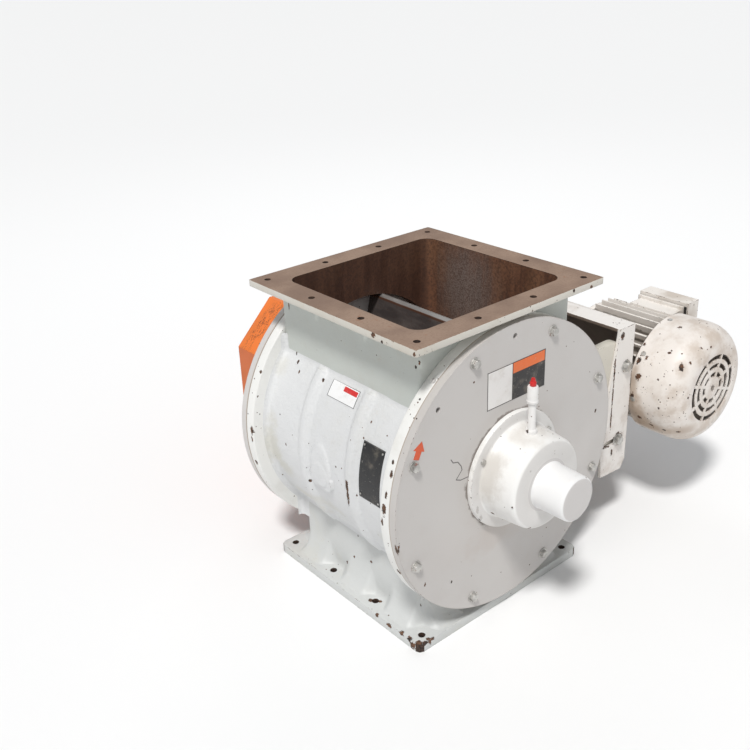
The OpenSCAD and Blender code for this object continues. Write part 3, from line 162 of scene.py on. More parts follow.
def capped(grid):
    """The grid's wall with one flat face at each end."""
    rows, columns = grid.shape[:2]
    places, faces = surface(grid, closed=True)
    last = (rows - 1) * columns
    return places, faces + [list(range(columns)), list(range(last + columns - 1, last - 1, -1))]


def joined(name, parts, material, closed_solids=False):
    """One object from several (places, faces), its doubles merged. Closed solids have their faces turned
    outwards, open surfaces lose their empty faces."""
    places, faces, start = [], [], 0
    for part_places, part_faces in parts:
        places.append(part_places)
        faces.extend([corner + start for corner in face] for face in part_faces)
        start += len(part_places)
    mesh = bpy.data.meshes.new(name)
    mesh.from_pydata(np.concatenate(places).tolist(), [], faces)
    work = bmesh.new()
    work.from_mesh(mesh)
    bmesh.ops.remove_doubles(work, verts=work.verts, dist=2e-5)
    if closed_solids:
        bmesh.ops.recalc_face_normals(work, faces=work.faces)
    else:
        bmesh.ops.dissolve_degenerate(work, edges=work.edges, dist=1e-6)
    work.to_mesh(mesh)
    work.free()
    thing = bpy.data.objects.new(name, mesh)
    bpy.context.scene.collection.objects.link(thing)
    mesh.materials.append(material)
    return thing


def smooth(thing, sharp):
    """Smooth shading with edges of more than sharp degrees left sharp."""
    thing.data.shade_smooth()
    thing.data.set_sharp_from_angle(angle=radians(sharp))


def piece(name, parts, material, stands_for, wall=0.0, bevel=0.0, sharp=38):
    """A piece of the valve's body that stands for a CAD node. wall gives a sheet its thickness inwards, and
    bevel rounds its edges."""
    thing = joined(name, parts, material)
    if wall:
        solid = thing.modifiers.new("wall", "SOLIDIFY")
        solid.thickness = wall
        solid.offset = -1
    if bevel:
        rounding = thing.modifiers.new("rounding", "BEVEL")
        rounding.width = bevel
        rounding.segments = 2
        rounding.limit_method = "ANGLE"
        rounding.angle_limit = radians(32)
    if wall or bevel:
        bpy.context.view_layer.update()
        seen = thing.evaluated_get(bpy.context.evaluated_depsgraph_get())
        done = bpy.data.meshes.new_from_object(seen)
        thing.modifiers.clear()
        thing.data = done
    smooth(thing, sharp)
    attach(thing, "valve")
    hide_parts(stands_for)
    return thing


def solid_piece(name, grids, material, stands_for, sharp=38):
    """Closed solids of the valve's body, from wall grids, that stand for a CAD node."""
    thing = joined(name, [capped(grid) for grid in grids], material, closed_solids=True)
    smooth(thing, sharp)
    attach(thing, "valve")
    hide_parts(stands_for)


def shader(name):
    """A new material with its node tree and its Principled shader."""
    material = bpy.data.materials.new(name)
    material.use_nodes = True
    return material, material.node_tree, material.node_tree.nodes["Principled BSDF"]


def add(tree, kind, sockets=None, **settings):
    """Adds a node, sets its values and links the sockets that are given."""
    node = tree.nodes.new("ShaderNode" + kind)
    for key, value in settings.items():
        setattr(node, key, value)
    for key, value in (sockets or {}).items():
        if isinstance(value, bpy.types.NodeSocket):
            tree.links.new(value, node.inputs[key])
        else:
            node.inputs[key].default_value = value
    return node


def noise(tree, place, scale, detail, roughness):
    """Cloudy noise from 0 to 1 with features about 1 / scale metres wide."""
    sockets = {"Vector": place, "Scale": scale, "Detail": detail, "Roughness": roughness}
    return add(tree, "TexNoise", sockets).outputs["Fac"]


def ramp(tree, value, low_edge, high_edge, low_out=0.0, high_out=1.0):
    """Smooth step of value between two edges."""
    node = add(tree, "MapRange", {"Value": value, "From Min": low_edge, "From Max": high_edge,
                                  "To Min": low_out, "To Max": high_out}, interpolation_type="SMOOTHSTEP")
    return node.outputs["Result"]


def calc(tree, operation, a, b=0.5, clamp=False):
    """One arithmetic step on two values or sockets."""
    return add(tree, "Math", {0: a, 1: b}, operation=operation, use_clamp=clamp).outputs[0]


def times(tree, a, b):
    return calc(tree, "MULTIPLY", a, b)


def plus(tree, a, b, clamp=False):
    return calc(tree, "ADD", a, b, clamp)


def minus(tree, a, b):
    return calc(tree, "SUBTRACT", a, b)


def highest(tree, a, b):
    return calc(tree, "MAXIMUM", a, b)


def shifted(tree, value, cloud, amount):
    """value moved up and down by a noise that averages 0.5."""
    return plus(tree, value, times(tree, minus(tree, cloud, 0.5), amount))


def vector(tree, operation, a, b):
    return add(tree, "VectorMath", {0: a, 1: b}, operation=operation).outputs["Vector"]


def blend_colour(tree, share, a, b):
    """Colour between a and b."""
    return add(tree, "Mix", {0: share, 6: a, 7: b}, data_type="RGBA").outputs[2]


def object_place(tree):
    return add(tree, "TexCoord").outputs["Object"]


def stretched(tree, place, scale):
    """The place with each axis scaled, which draws a noise out along the axes with small scales."""
    return add(tree, "Mapping", {"Vector": place, "Scale": scale}).outputs["Vector"]


def length_of(tree, gap):
    return add(tree, "VectorMath", {0: gap}, operation="LENGTH").outputs["Value"]


across_y = (1.0, 0.0, 1.0)


def reach_from(tree, place, centre, scale):
    """Distance from centre with each axis multiplied by its scale; across_y gives it from a line along Y."""
    return length_of(tree, vector(tree, "MULTIPLY", vector(tree, "SUBTRACT", place, centre), scale))


def blob_reach(tree, place, x, y, z, radius, half_height):
    """Distance from a place in mm that is 1 on a blob of the radius and half height."""
    scale = (1 / (radius * mm), 1 / (radius * mm), 1 / (half_height * mm))
    return reach_from(tree, place, (x * mm, y * mm, z * mm), scale)


def wire(tree, film, colour, roughness, height, strength, distance):
    """Links a colour, a roughness and a bump to the shader."""
    tree.links.new(colour, film.inputs["Base Color"])
    tree.links.new(roughness, film.inputs["Roughness"])
    bump = add(tree, "Bump", {"Height": height, "Strength": strength, "Distance": distance})
    tree.links.new(bump.outputs["Normal"], film.inputs["Normal"])


def spots(tree, place, list_of_spots):
    """1 inside ragged blobs: each spot is (x, y, z, radius, half height) in mm, its edge torn by noise."""
    tear = times(tree, minus(tree, noise(tree, place, 190.0, 5.0, 0.75), 0.5), 2.8)
    total = None
    for spot in list_of_spots:
        inside = ramp(tree, plus(tree, blob_reach(tree, place, *spot), tear), 1.0, 0.86)
        total = inside if total is None else highest(tree, total, inside)
    return total


def specks(tree, place, scale, share, most, tear):
    """1 inside round specks: space falls into cells about 1 / scale wide, and a cell whose random number lies
    in the top share holds a speck of up to most cells radius, its edge torn by noise."""
    cell = add(tree, "TexVoronoi", {"Vector": place, "Scale": scale}, feature="F1")
    draw = add(tree, "SeparateColor", {"Color": cell.outputs["Color"]}).outputs[0]
    rank = calc(tree, "DIVIDE", minus(tree, plus(tree, draw, share), 1.0), share)
    size = times(tree, rank, most)
    reach = shifted(tree, cell.outputs["Distance"], tear, 0.5)
    return ramp(tree, minus(tree, size, reach), 0.0, 0.03)


def worn_enamel(name, colour, dirt_and_shade_colour, chips, dirt, cast_bump, edge=2.2, gloss=0.34, marks=(),
                cluster_scale=7.0, stains_and_shade=()):
    """Enamel on iron: even film, cast or rolled texture below, patchy dirt, soft blobs of stain and of
    painted shade, and chips down to brown rust. Chips gather where a slow noise is high, along edges, and at
    the listed marks."""
    material, tree, film = shader(name)
    place = object_place(tree)
    rounded = add(tree, "Bevel", {"Radius": edge * mm}, samples=6).outputs["Normal"]
    surface_normal = add(tree, "NewGeometry").outputs["Normal"]
    on_edge = add(tree, "VectorMath", {0: rounded, 1: surface_normal}, operation="DOT_PRODUCT")
    on_edge = minus(tree, 1.0, on_edge.outputs["Value"])
    edge_zone = ramp(tree, on_edge, 0.015, 0.10)
    fine = noise(tree, place, 230.0, 6.0, 0.65)
    coarse = noise(tree, place, 62.0, 5.0, 0.6)
    cluster = noise(tree, place, cluster_scale, 2.0, 0.5)
    density = ramp(tree, cluster, 0.40, 0.66, 0.25, 2.2)
    field = plus(tree, times(tree, fine, 0.5), times(tree, coarse, 0.5))
    reach = shifted(tree, field, cluster, 0.3)
    small = specks(tree, place, 190.0, times(tree, density, 0.16 * chips), 0.30, fine)
    large = specks(tree, place, 62.0, times(tree, density, 0.060 * chips), 0.26, fine)
    along_edge = ramp(tree, plus(tree, reach, times(tree, edge_zone, 0.06 + 0.06 * chips)), 0.640, 0.652)
    along_edge = times(tree, along_edge, edge_zone)
    bare = highest(tree, highest(tree, small, large), along_edge)
    if marks:
        bare = highest(tree, bare, spots(tree, place, marks))
    stain_edge = ramp(tree, plus(tree, reach, times(tree, edge_zone, 0.10)), 0.56, 0.72)

    tone = noise(tree, place, 3.2, 3.0, 0.5)
    film_colour = blend_colour(tree, ramp(tree, tone, 0.35, 0.7), (*colour, 1),
                               (*[c * 0.93 for c in colour], 1))
    grime = noise(tree, place, 26.0, 6.0, 0.62)
    grime_share = times(tree, ramp(tree, times(tree, grime, tone), 0.22, 0.40), dirt)
    film_colour = blend_colour(tree, grime_share, film_colour, (*dirt_and_shade_colour, 1))
    film_colour = blend_colour(tree, times(tree, stain_edge, 0.34 * dirt + 0.04), film_colour,
                               (0.45, 0.30, 0.16, 1))
    # Each blob darkens the film towards the dirt colour: some calls list real stain, others painted shade or
    # a painted shadow.
    for *blob, strength in stains_and_shade:
        cloud = shifted(tree, blob_reach(tree, place, *blob), grime, 2.2)
        share = ramp(tree, cloud, 1.15, 0.25, 0.0, strength)
        film_colour = blend_colour(tree, share, film_colour, (*dirt_and_shade_colour, 1))
    rust_tone = noise(tree, place, 120.0, 4.0, 0.6)
    rust = blend_colour(tree, ramp(tree, rust_tone, 0.35, 0.65), (0.030, 0.022, 0.018, 1),
                        (0.15, 0.070, 0.036, 1))
    tree.links.new(blend_colour(tree, bare, film_colour, rust), film.inputs["Base Color"])

    shine = plus(tree, gloss, times(tree, grime, 0.22))
    tree.links.new(plus(tree, shine, times(tree, bare, 0.35), clamp=True), film.inputs["Roughness"])
    sand = noise(tree, place, 320.0, 3.0, 0.5)
    flow = noise(tree, place, 52.0, 4.0, 0.55)
    relief = plus(tree, times(tree, sand, 0.40 * cast_bump), times(tree, flow, cast_bump))
    relief = minus(tree, relief, times(tree, bare, 0.55))
    bump = add(tree, "Bump", {"Height": relief, "Normal": rounded, "Strength": 0.6, "Distance": 0.0016})
    tree.links.new(bump.outputs["Normal"], film.inputs["Normal"])
    return material


def stroke(tree, place, start, end, half_width):
    """1 within half_width of the straight line between two points, all in mm."""
    start, end = Vector(start) * mm, Vector(end) * mm
    along = end - start
    offset = vector(tree, "SUBTRACT", place, start)
    share = add(tree, "VectorMath", {0: offset, 1: along / along.length_squared}, operation="DOT_PRODUCT")
    share = plus(tree, share.outputs["Value"], 0.0, clamp=True)
    near = add(tree, "VectorMath", {0: along, "Scale": share}, operation="SCALE").outputs["Vector"]
    gap = length_of(tree, vector(tree, "SUBTRACT", offset, near))
    return ramp(tree, gap, half_width * mm, half_width * 0.6 * mm)


def facing(tree, axis, low_edge, high_edge, most=1.0):
    """Smooth step, up to most, of how far a surface faces along one of the object's own axes."""
    normal = add(tree, "SeparateXYZ", {"Vector": add(tree, "TexCoord").outputs["Normal"]}).outputs[axis]
    return ramp(tree, normal, low_edge, high_edge, 0.0, most)


def overlay(material, share, colour):
    """Lays a colour over a finished material where share, a socket of its own tree, is high."""
    tree = material.node_tree
    base = tree.nodes["Principled BSDF"].inputs["Base Color"]
    tree.links.new(blend_colour(tree, share, base.links[0].from_socket, (*colour, 1)), base)


casting_marks = (
    (-251, -67, 300, 4, 15), (-251, -67, 276, 4.5, 17), (-249, -64, 254, 3, 13), (-245, -60, 238, 2, 6),
    (-192, 140, 453, 2.8, 12), (-185, 152, 464, 1.8, 9), (-201, 126, 440, 2.2, 12), (-214, 92, 402, 1.6, 3),
    (-199, 54, 448, 2.4, 6), (-212, -94, 425, 1.8, 4), (-226, -128, 205, 2, 5), (-242, 60, 310, 1.6, 3),
    (-238, -150, 262, 2, 3), (-243, 128, 300, 2, 3),
)
# Its stain blobs darken the barrel towards the bottom and beside the end rings.
casting_enamel = worn_enamel("casting_enamel", (0.715, 0.72, 0.725), (0.60, 0.58, 0.50), chips=0.16, edge=3.0,
                             dirt=0.12, cast_bump=2.4, marks=casting_marks,
                             stains_and_shade=((-240, 172, 290, 26, 70, 0.6), (-236, 150, 236, 40, 26, 0.5),
                                     (-216, -150, 205, 40, 24, 0.45), (-240, -168, 330, 14, 60, 0.4),
                                     (-205, 176, 440, 20, 30, 0.35), (-226, 40, 200, 60, 22, 0.4),
                                     (-190, 100, 170, 80, 20, 0.5)))


def side_outline(neck_half, foot_half, top_fillet, low_fillet):
    """Outline of one side from the inlet neck down to the outlet neck: line, hollow arc, body circle,
    hollow arc, line. Gives x, height above the axis, the outward direction and the share of body."""
    top_x, low_x = neck_half + top_fillet, foot_half + low_fillet
    top_z = sqrt((body_r + top_fillet) ** 2 - top_x ** 2)
    low_z = sqrt((body_r + low_fillet) ** 2 - low_x ** 2)
    top_angle, low_angle = np.arctan2(top_z, top_x), np.arctan2(low_z, low_x)
    line = np.linspace(top_z + 30 * mm, top_z, 6)[:-1]
    parts = [np.stack([np.full_like(line, neck_half - skin_gap), line, np.ones_like(line), 0 * line,
                       0 * line], -1)]
    turn = np.linspace(pi, pi + top_angle, 16)[:-1]
    parts.append(np.stack([top_x + top_fillet * np.cos(turn), top_z + top_fillet * np.sin(turn),
                           -np.cos(turn), -np.sin(turn), np.linspace(0, 1, 15)], -1))
    turn = np.linspace(top_angle, -low_angle, 150)
    parts.append(np.stack([body_r * np.cos(turn), body_r * np.sin(turn), np.cos(turn), np.sin(turn),
                           np.ones_like(turn)], -1))
    turn = np.linspace(pi - low_angle, pi, 18)[1:]
    parts.append(np.stack([low_x + low_fillet * np.cos(turn), -low_z + low_fillet * np.sin(turn),
                           -np.cos(turn), -np.sin(turn), np.linspace(1, 0, 17)], -1))
    line = np.linspace(-low_z, -low_z - 40 * mm, 8)[1:]
    parts.append(np.stack([np.full_like(line, foot_half - skin_gap), line, np.ones_like(line), 0 * line,
                           0 * line], -1))
    return np.concatenate(parts)


def eased(share):
    """Smooth step from 0 to 1 of a share, clipped at both."""
    share = np.clip(share, 0, 1)
    return share * share * (3 - 2 * share)


def swell(y, z):
    """Slow unevenness of the sand casting."""
    return 0.45 * mm * (np.sin(31 * y + 17 * z) + np.sin(23 * z - 41 * y + 1.3) * 0.6)


def side_skin(side):
    """Side of the barrel: the outline carried along Y, raised along its normal by the two ribs, by the hollow
    arcs at the end rings, by the blank pad and by a slow unevenness of the casting."""
    outline = side_outline(neck_x, foot_x, neck_fillet, foot_fillet)
    y = np.linspace(-ring_back, ring_back, 241)[None, :]
    x, z, nx, nz, share = [outline[:, k][:, None] for k in range(5)]
    rib = sum(np.exp(-(np.abs(y - place) / (12.5 * mm)) ** 3.4) for place in (-rib_place, rib_place))
    raised = 8.5 * mm * rib * np.clip(share * 1.25, 0, 1) ** 1.5
    depth = np.clip(11 * mm - (ring_back - np.abs(y)), 0, None)
    below_ring = np.clip((200 * mm - z) / (14 * mm), 0, 1)
    raised = raised + (11 * mm - np.sqrt((11 * mm) ** 2 - depth ** 2)) * below_ring
    raised = raised + swell(y, z) * share
    if side < 0:
        climb = np.arctan2(z, x) * body_r + 20 * mm
        across = y - 18 * mm
        tall = np.where(climb > 0, 64 * mm, 33 * mm)
        reach = np.where(climb > 0, (climb / tall) ** 2 + (across / (31 * mm)) ** 2,
                         (climb / tall) ** 4 + (across / (33 * mm)) ** 4)
        pad = eased((1.0 - reach) * 4)
        raised = raised + pad * (5.6 * mm - 0.045 * climb) * share
        raised = raised + 1.8 * mm * eased((25 * mm - np.hypot(climb, across)) / (2.0 * mm))
    points = np.stack(np.broadcast_arrays(side * (x + nx * raised), y, axis_z + z + nz * raised), -1)
    return surface(points, flip=side > 0)


piece("casting_sides", [side_skin(-1), side_skin(1)], casting_enamel, "housing")


def turned(profile, steps, flip=False):
    """Profile of (radius, y) points turned once about the rotor's axis."""
    turn = np.linspace(0, 2 * pi, steps, endpoint=False)[None, :]
    radius, along = profile[:, :1], profile[:, 1:]
    points = np.stack(np.broadcast_arrays(radius * np.cos(turn), along, axis_z + radius * np.sin(turn)), -1)
    return surface(points, closed=True, flip=flip)


def rounded(profile, radius):
    """The profile with each inner corner replaced by an arc of about the radius."""
    profile = np.asarray(profile, float)
    out = [profile[0]]
    for before, corner, after in zip(profile[:-2], profile[1:-1], profile[2:]):
        a, b = before - corner, after - corner
        cut = min(radius, 0.45 * np.linalg.norm(a), 0.45 * np.linalg.norm(b))
        a, b = corner + a / np.linalg.norm(a) * cut, corner + b / np.linalg.norm(b) * cut
        t = np.linspace(0, 1, 5)[:, None]
        out.extend((1 - t) ** 2 * a + 2 * t * (1 - t) * corner + t * t * b)
    out.append(profile[-1])
    return np.array(out)


# ---------- Housing: end rings and necks ----------
# The rings are cast on, turned flat for the end plates and painted with them; the necks are thick walls
# that end in the two flanges.
ring_enamel = worn_enamel("ring_enamel", (0.85, 0.845, 0.82), (0.55, 0.52, 0.46), chips=0.75, edge=2.0,
                          dirt=0.25,
                          cast_bump=0.5, cluster_scale=11.0,
                          marks=((-256, -200, 408, 2.5, 5), (-263, -203, 391, 3.5, 8),
                                 (-272, -199, 352, 3, 8),
                                 (-276, -197, 326, 5, 12), (-276, -192, 300, 3, 8), (-254, -204, 196, 4, 9),
                                 (-276, 191, 318, 4, 12), (-277, 192, 298, 3, 7), (-270, 196, 243, 4, 6),
                                 (-245, 190, 433, 3, 5), (-196, -200, 500, 2, 2)))
ring_hidden_r = 236 * mm
rings = []
for end in (-1, 1):
    profile = rounded([(ring_hidden_r, end * ring_back), (ring_r, end * ring_back),
                       (ring_r, end * ring_face_y),
                       (ring_hidden_r, end * ring_face_y)], 2.5 * mm)
    rings.append(turned(profile, 240, flip=end < 0))
piece("casting_rings", rings, ring_enamel, "housing")


def rounded_square(half_x, half_y, corner, steps=10, side=40):
    """Closed outline of a rectangle with round corners, and its outward directions, evenly numbered."""
    places, ways = [], []
    for number, (sx, sy) in enumerate(((1, 1), (-1, 1), (-1, -1), (1, -1))):
        turn = np.linspace(0, pi / 2, steps) + number * pi / 2
        way = np.stack([np.cos(turn), np.sin(turn)], -1)
        centre = np.array([sx * (half_x - corner), sy * (half_y - corner)])
        places.append(centre + corner * way)
        ways.append(way)
        nx, ny = (-sx, sy) if number % 2 == 0 else (sx, -sy)
        next_centre = np.array([nx * (half_x - corner), ny * (half_y - corner)])
        share = np.linspace(0, 1, side)[1:-1, None]
        places.append(places[-1][-1] + share * (next_centre - centre))
        ways.append(np.repeat(way[-1:], side - 2, 0))
    return np.concatenate(places), np.concatenate(ways)


def neck_wall(half_x, half_y, corner, hidden_r, z_high, flare):
    """Outside of the inlet neck: a rounded rectangle carried along Z and widened by a quarter round at its
    top. Its foot lies in the casting, at a height over the axis of the root of hidden_r squared less x
    squared."""
    outline, ways = rounded_square(half_x, half_y, corner)
    z_low = axis_z + np.sqrt(hidden_r ** 2 - outline[:, 0] ** 2)
    z = z_low + (z_high - z_low) * (1 - np.cos(np.linspace(0, pi, 40)))[:, None] / 2
    above = np.clip(z - z_high + flare, 0, flare)
    grow = flare - np.sqrt(flare ** 2 - above ** 2)
    flat = outline[None] + ways[None] * grow[..., None]
    return surface(np.concatenate([flat, z[..., None]], -1), closed=True)


flange_t = 12.7 * mm
# The neck's enamel is set darker and greener than the barrel's: painted shade for the walls under the
# flange's overhang.
neck_shaded_enamel = worn_enamel("neck_shaded_enamel", (0.55, 0.575, 0.54), (0.50, 0.50, 0.45), chips=0.12, dirt=0.2,
                          cast_bump=0.7,
                          marks=((-185.4, 166, 560, 1.6, 13), (-184, -187.6, 556, 3, 3.5),
                                 (-185.4, -180, 547, 2.5, 3)))
piece("inlet_neck", [neck_wall(neck_x, neck_y, 6 * mm, 232 * mm, housing_top - flange_t, 5 * mm)],
      neck_shaded_enamel, "housing")


# ---------- Housing: inlet and outlet flanges ----------
# Flat plates of the casting: the inlet face is machined bare and has browned, its edge is painted; the
# outlet flange is painted all over and stands on four sides on round-backed webs between the bolts.
def drill(points, keep, centre, radius, row, column, reach):
    """Draws the grid's lines round (row, column) into a circle and drops the cells inside it: a line at share
    m of the reach keeps its place at m = 1 and lies on the circle at m = 0.5."""
    step = np.arange(-reach, reach + 1)
    i, j = np.meshgrid(step, step, indexing="ij")
    rows, columns = row + i, (column + j) % points.shape[1]
    m = np.maximum(np.abs(i), np.abs(j))[..., None] / reach
    spot = points[rows, columns]
    way = spot - centre
    length = np.maximum(np.linalg.norm(way, axis=-1, keepdims=True), 1e-9)
    circle = centre + way / length * radius
    points[rows, columns] = np.where(m >= 0.5, circle + (spot - circle) * (m - 0.5) * 2, spot)
    half = reach // 2
    inside = (i >= -half) & (i < half) & (j >= -half) & (j < half)
    keep[rows[inside], columns[inside]] = False


def drilled_frame(inner, inner_corner, outer_x, outer_y, outer_corner, rows_x, rows_y, hole_r, z):
    """Square ring with four holes a side: lines run from the opening's outline to the outer edge, and the
    middle line passes the holes. rows_x and rows_y are the bolt rows' half distances."""
    straight = inner - inner_corner
    reach, corner_steps = 6, 8
    columns, holes = [], []
    block = 24 * mm
    for number in range(4):
        row_far, row_near = (rows_y, rows_x) if number % 2 == 0 else (rows_x, rows_y)
        third = row_far / 3
        stations = np.concatenate([
            np.linspace(-straight, -third - block, 5)[:-1],
            np.linspace(-third - block, -third + block, 13)[:-1],
            np.linspace(-third + block, third - block, 7)[:-1],
            np.linspace(third - block, third + block, 13)[:-1],
            np.linspace(third + block, straight, 5)[:-1]])
        first = len(columns)
        holes += [(first + 4 + 6, -third, number), (first + 4 + 12 + 6 + 6, third, number)]
        outer_near = outer_x if number % 2 == 0 else outer_y
        outer_far = outer_y if number % 2 == 0 else outer_x
        for t in stations:
            columns.append((inner, t, row_near, t, outer_near, t, number))
        for k in range(2 * corner_steps):
            turn = pi / 2 * k / (2 * corner_steps)
            a = (straight + inner_corner * cos(turn), straight + inner_corner * sin(turn))
            if k <= corner_steps:
                b = (outer_near, straight + (outer_far - straight) * k / corner_steps)
            else:
                b = (straight + (outer_near - straight) * (2 * corner_steps - k) / corner_steps, outer_far)
            over = np.array([b[0] - outer_near + outer_corner, b[1] - outer_far + outer_corner])
            if over.min() > 0:
                over *= outer_corner / np.linalg.norm(over)
                b = (outer_near - outer_corner + over[0], outer_far - outer_corner + over[1])
            share = (row_near - inner) / (outer_near - inner)
            middle = (a[0] + (b[0] - a[0]) * share, a[1] + (b[1] - a[1]) * share)
            columns.append((*a, *middle, *b, number))
        holes.append((first + len(stations) + corner_steps, None, number))
    columns = np.array(columns)
    share = np.linspace(0, 1, 2 * reach + 1)[:, None]
    first, second = np.clip(share * 2, 0, 1), np.clip(share * 2 - 1, 0, 1)
    along = columns[:, 0] * (1 - first) + columns[:, 2] * (first - second) + columns[:, 4] * second
    across = columns[:, 1] * (1 - first) + columns[:, 3] * (first - second) + columns[:, 5] * second
    turn = columns[:, 6] * pi / 2
    points = np.stack([along * np.cos(turn) - across * np.sin(turn),
                       along * np.sin(turn) + across * np.cos(turn),
                       np.full_like(along, z)], -1)
    keep = np.ones((points.shape[0] - 1, points.shape[1]), bool)
    for column, t, number in holes:
        near_row, far_row = (rows_x, rows_y) if number % 2 == 0 else (rows_y, rows_x)
        local = np.array([near_row, far_row if t is None else t])
        quarter = number * pi / 2
        centre = np.array([local[0] * cos(quarter) - local[1] * sin(quarter),
                           local[0] * sin(quarter) + local[1] * cos(quarter), z])
        drill(points, keep, centre, hole_r, reach, column, reach)
    return surface(points, closed=True, flip=True, keep=keep)


def bare_brown_iron(name):
    """Machined iron face gone brown: fine grain, darker oily patches and orange rust freckles."""
    material, tree, metal = shader(name)
    place = object_place(tree)
    cloud = noise(tree, place, 9.0, 5.0, 0.6)
    grain = noise(tree, place, 240.0, 4.0, 0.6)
    colour = blend_colour(tree, ramp(tree, cloud, 0.32, 0.68), (0.235, 0.150, 0.105, 1),
                          (0.36, 0.25, 0.185, 1))
    colour = blend_colour(tree, ramp(tree, grain, 0.45, 0.75, 0, 0.5), colour, (0.20, 0.115, 0.075, 1))
    freckle = ramp(tree, plus(tree, times(tree, noise(tree, place, 70.0, 5.0, 0.7), 0.6),
                              times(tree, cloud, 0.4)), 0.60, 0.66)
    colour = blend_colour(tree, times(tree, freckle, 0.6), colour, (0.30, 0.12, 0.05, 1))
    metal.inputs["Metallic"].default_value = 0.25
    relief = plus(tree, grain, times(tree, freckle, 0.5))
    wire(tree, metal, colour, ramp(tree, cloud, 0.3, 0.7, 0.52, 0.72), relief, 0.25, 0.0008)
    return material


def paint_rims(thing, top, paint, outer_x, outer_y):
    """Gives the faces of a flange their finish by place: the rim and the underside, and the holes' walls."""
    mesh = thing.data
    mesh.materials.clear()
    for material in (top, paint, hole_rust_and_shade):
        mesh.materials.append(material)
    centres, normals = np.empty(len(mesh.polygons) * 3), np.empty(len(mesh.polygons) * 3)
    mesh.polygons.foreach_get("center", centres)
    mesh.polygons.foreach_get("normal", normals)
    centres, normals = centres.reshape(-1, 3), normals.reshape(-1, 3)
    outside = (np.abs(centres[:, 0]) > outer_x - 1.5 * mm) | (np.abs(centres[:, 1]) > outer_y - 1.5 * mm)
    upright = np.abs(normals[:, 2]) < 0.8
    under = normals[:, 2] < -0.5
    index = np.where(under | (upright & outside), 1, np.where(upright, 2, 0))
    mesh.polygons.foreach_set("material_index", index.astype(np.int32))
    mesh.update()


brown_face = bare_brown_iron("brown_face")
# The walls of the bolt holes and the opening are nearly black: rust, darkened further as painted shade inside
# the holes.
hole_rust_and_shade, hole_tree, hole_iron = shader("hole_rust_and_shade")
hole_grain = noise(hole_tree, object_place(hole_tree), 220.0, 4.0, 0.65)
hole_tree.links.new(blend_colour(hole_tree, ramp(hole_tree, hole_grain, 0.35, 0.65), (0.018, 0.012, 0.010, 1),
                                 (0.075, 0.040, 0.025, 1)), hole_iron.inputs["Base Color"])
hole_iron.inputs["Roughness"].default_value = 0.8
flange_enamel = worn_enamel("flange_enamel", (0.65, 0.62, 0.56), (0.60, 0.55, 0.46), chips=0.9, edge=1.8,
                            dirt=0.35,
                            cast_bump=0.5, cluster_scale=12.0,
                            marks=((-228, -128, 600, 5, 5), (-228, -150, 594, 3, 3), (-228, -224, 597, 3, 4)))
inlet_frame = drilled_frame(inlet_half, opening_corner, flange_half, flange_half, 2 * mm,
                            flange_row, flange_row, 6 * mm, housing_top)
inlet_flange = piece("inlet_flange", [inlet_frame], brown_face, "housing", wall=flange_t, bevel=0.7 * mm)
paint_rims(inlet_flange, brown_face, flange_enamel, flange_half, flange_half)

outlet_t = 18 * mm
foot_enamel = worn_enamel("foot_enamel", (0.61, 0.62, 0.61), (0.60, 0.58, 0.50), chips=0.55, edge=2.6,
                          dirt=0.25,
                          cast_bump=0.9, cluster_scale=9.0,
                          marks=((-219, -196, 10, 8, 8), (-213, -206, 17, 7, 6), (-205, -213, 18, 6, 5),
                                 (-217, -186, 16, 6, 4), (-195, -210, 14, 6, 6), (-219, -213, 5, 7, 6),
                                 (-186, -213, 17, 4, 4), (-219, -132, 14, 8, 4), (-201, -58, 18, 5, 3),
                                 (-190, -72, 18, 3.5, 3), (-219, -165, 16, 7, 3), (-219, -96, 15, 5, 4)))
outlet_frame = drilled_frame(outlet_half, opening_corner, outlet_half_x, outlet_half_y, 12 * mm,
                             outlet_row_x, outlet_row_y, 6.75 * mm, outlet_t)
outlet_flange = piece("outlet_flange", [outlet_frame], foot_enamel, "housing", wall=outlet_t, bevel=2.2 * mm)
paint_rims(outlet_flange, foot_enamel, foot_enamel, outlet_half_x, outlet_half_y)


def outlet_neck():
    """Outside of the outlet neck: a rounded square carried down, flared at its foot by a quarter round. The
    flare is wide between the bolts and narrow beside each one, which leaves a pocket for the nut."""
    outline, ways = rounded_square(foot_x, foot_x, 16 * mm, 14, 90)
    bolt_places = [np.array([sx * x, sy * y]) for sx in (-1, 1) for sy in (-1, 1)
                   for x, y in ((outlet_row_x, 64.7 * mm), (65.2 * mm, outlet_row_y),
                                (outlet_row_x, outlet_row_y))]
    near = np.min([np.linalg.norm(outline + ways * 19 * mm - spot, axis=1) for spot in bolt_places], axis=0)
    flare = 9 * mm + 27 * mm * eased((near - 12 * mm) / (26 * mm))
    height = 150 * mm * np.linspace(0, 1, 60) ** 1.6
    down = np.clip(flare[None] * 1.7 - height[:, None], 0, None) / 1.7
    grow = flare[None] - np.sqrt(np.clip(flare[None] ** 2 - down ** 2, 0, None))
    flat = outline[None] + ways[None] * grow[..., None]
    z = np.broadcast_to((outlet_t - 0.3 * mm + height)[:, None, None], (*flat.shape[:2], 1))
    return surface(np.concatenate([flat, z], -1), closed=True)


piece("outlet_neck", [outlet_neck()], foot_enamel, "housing", sharp=60)


# ---------- Housing: inside of the inlet neck and the bore ----------
# The neck is left as cast inside and has rusted; the bore is turned smooth and polished by the vane tips.


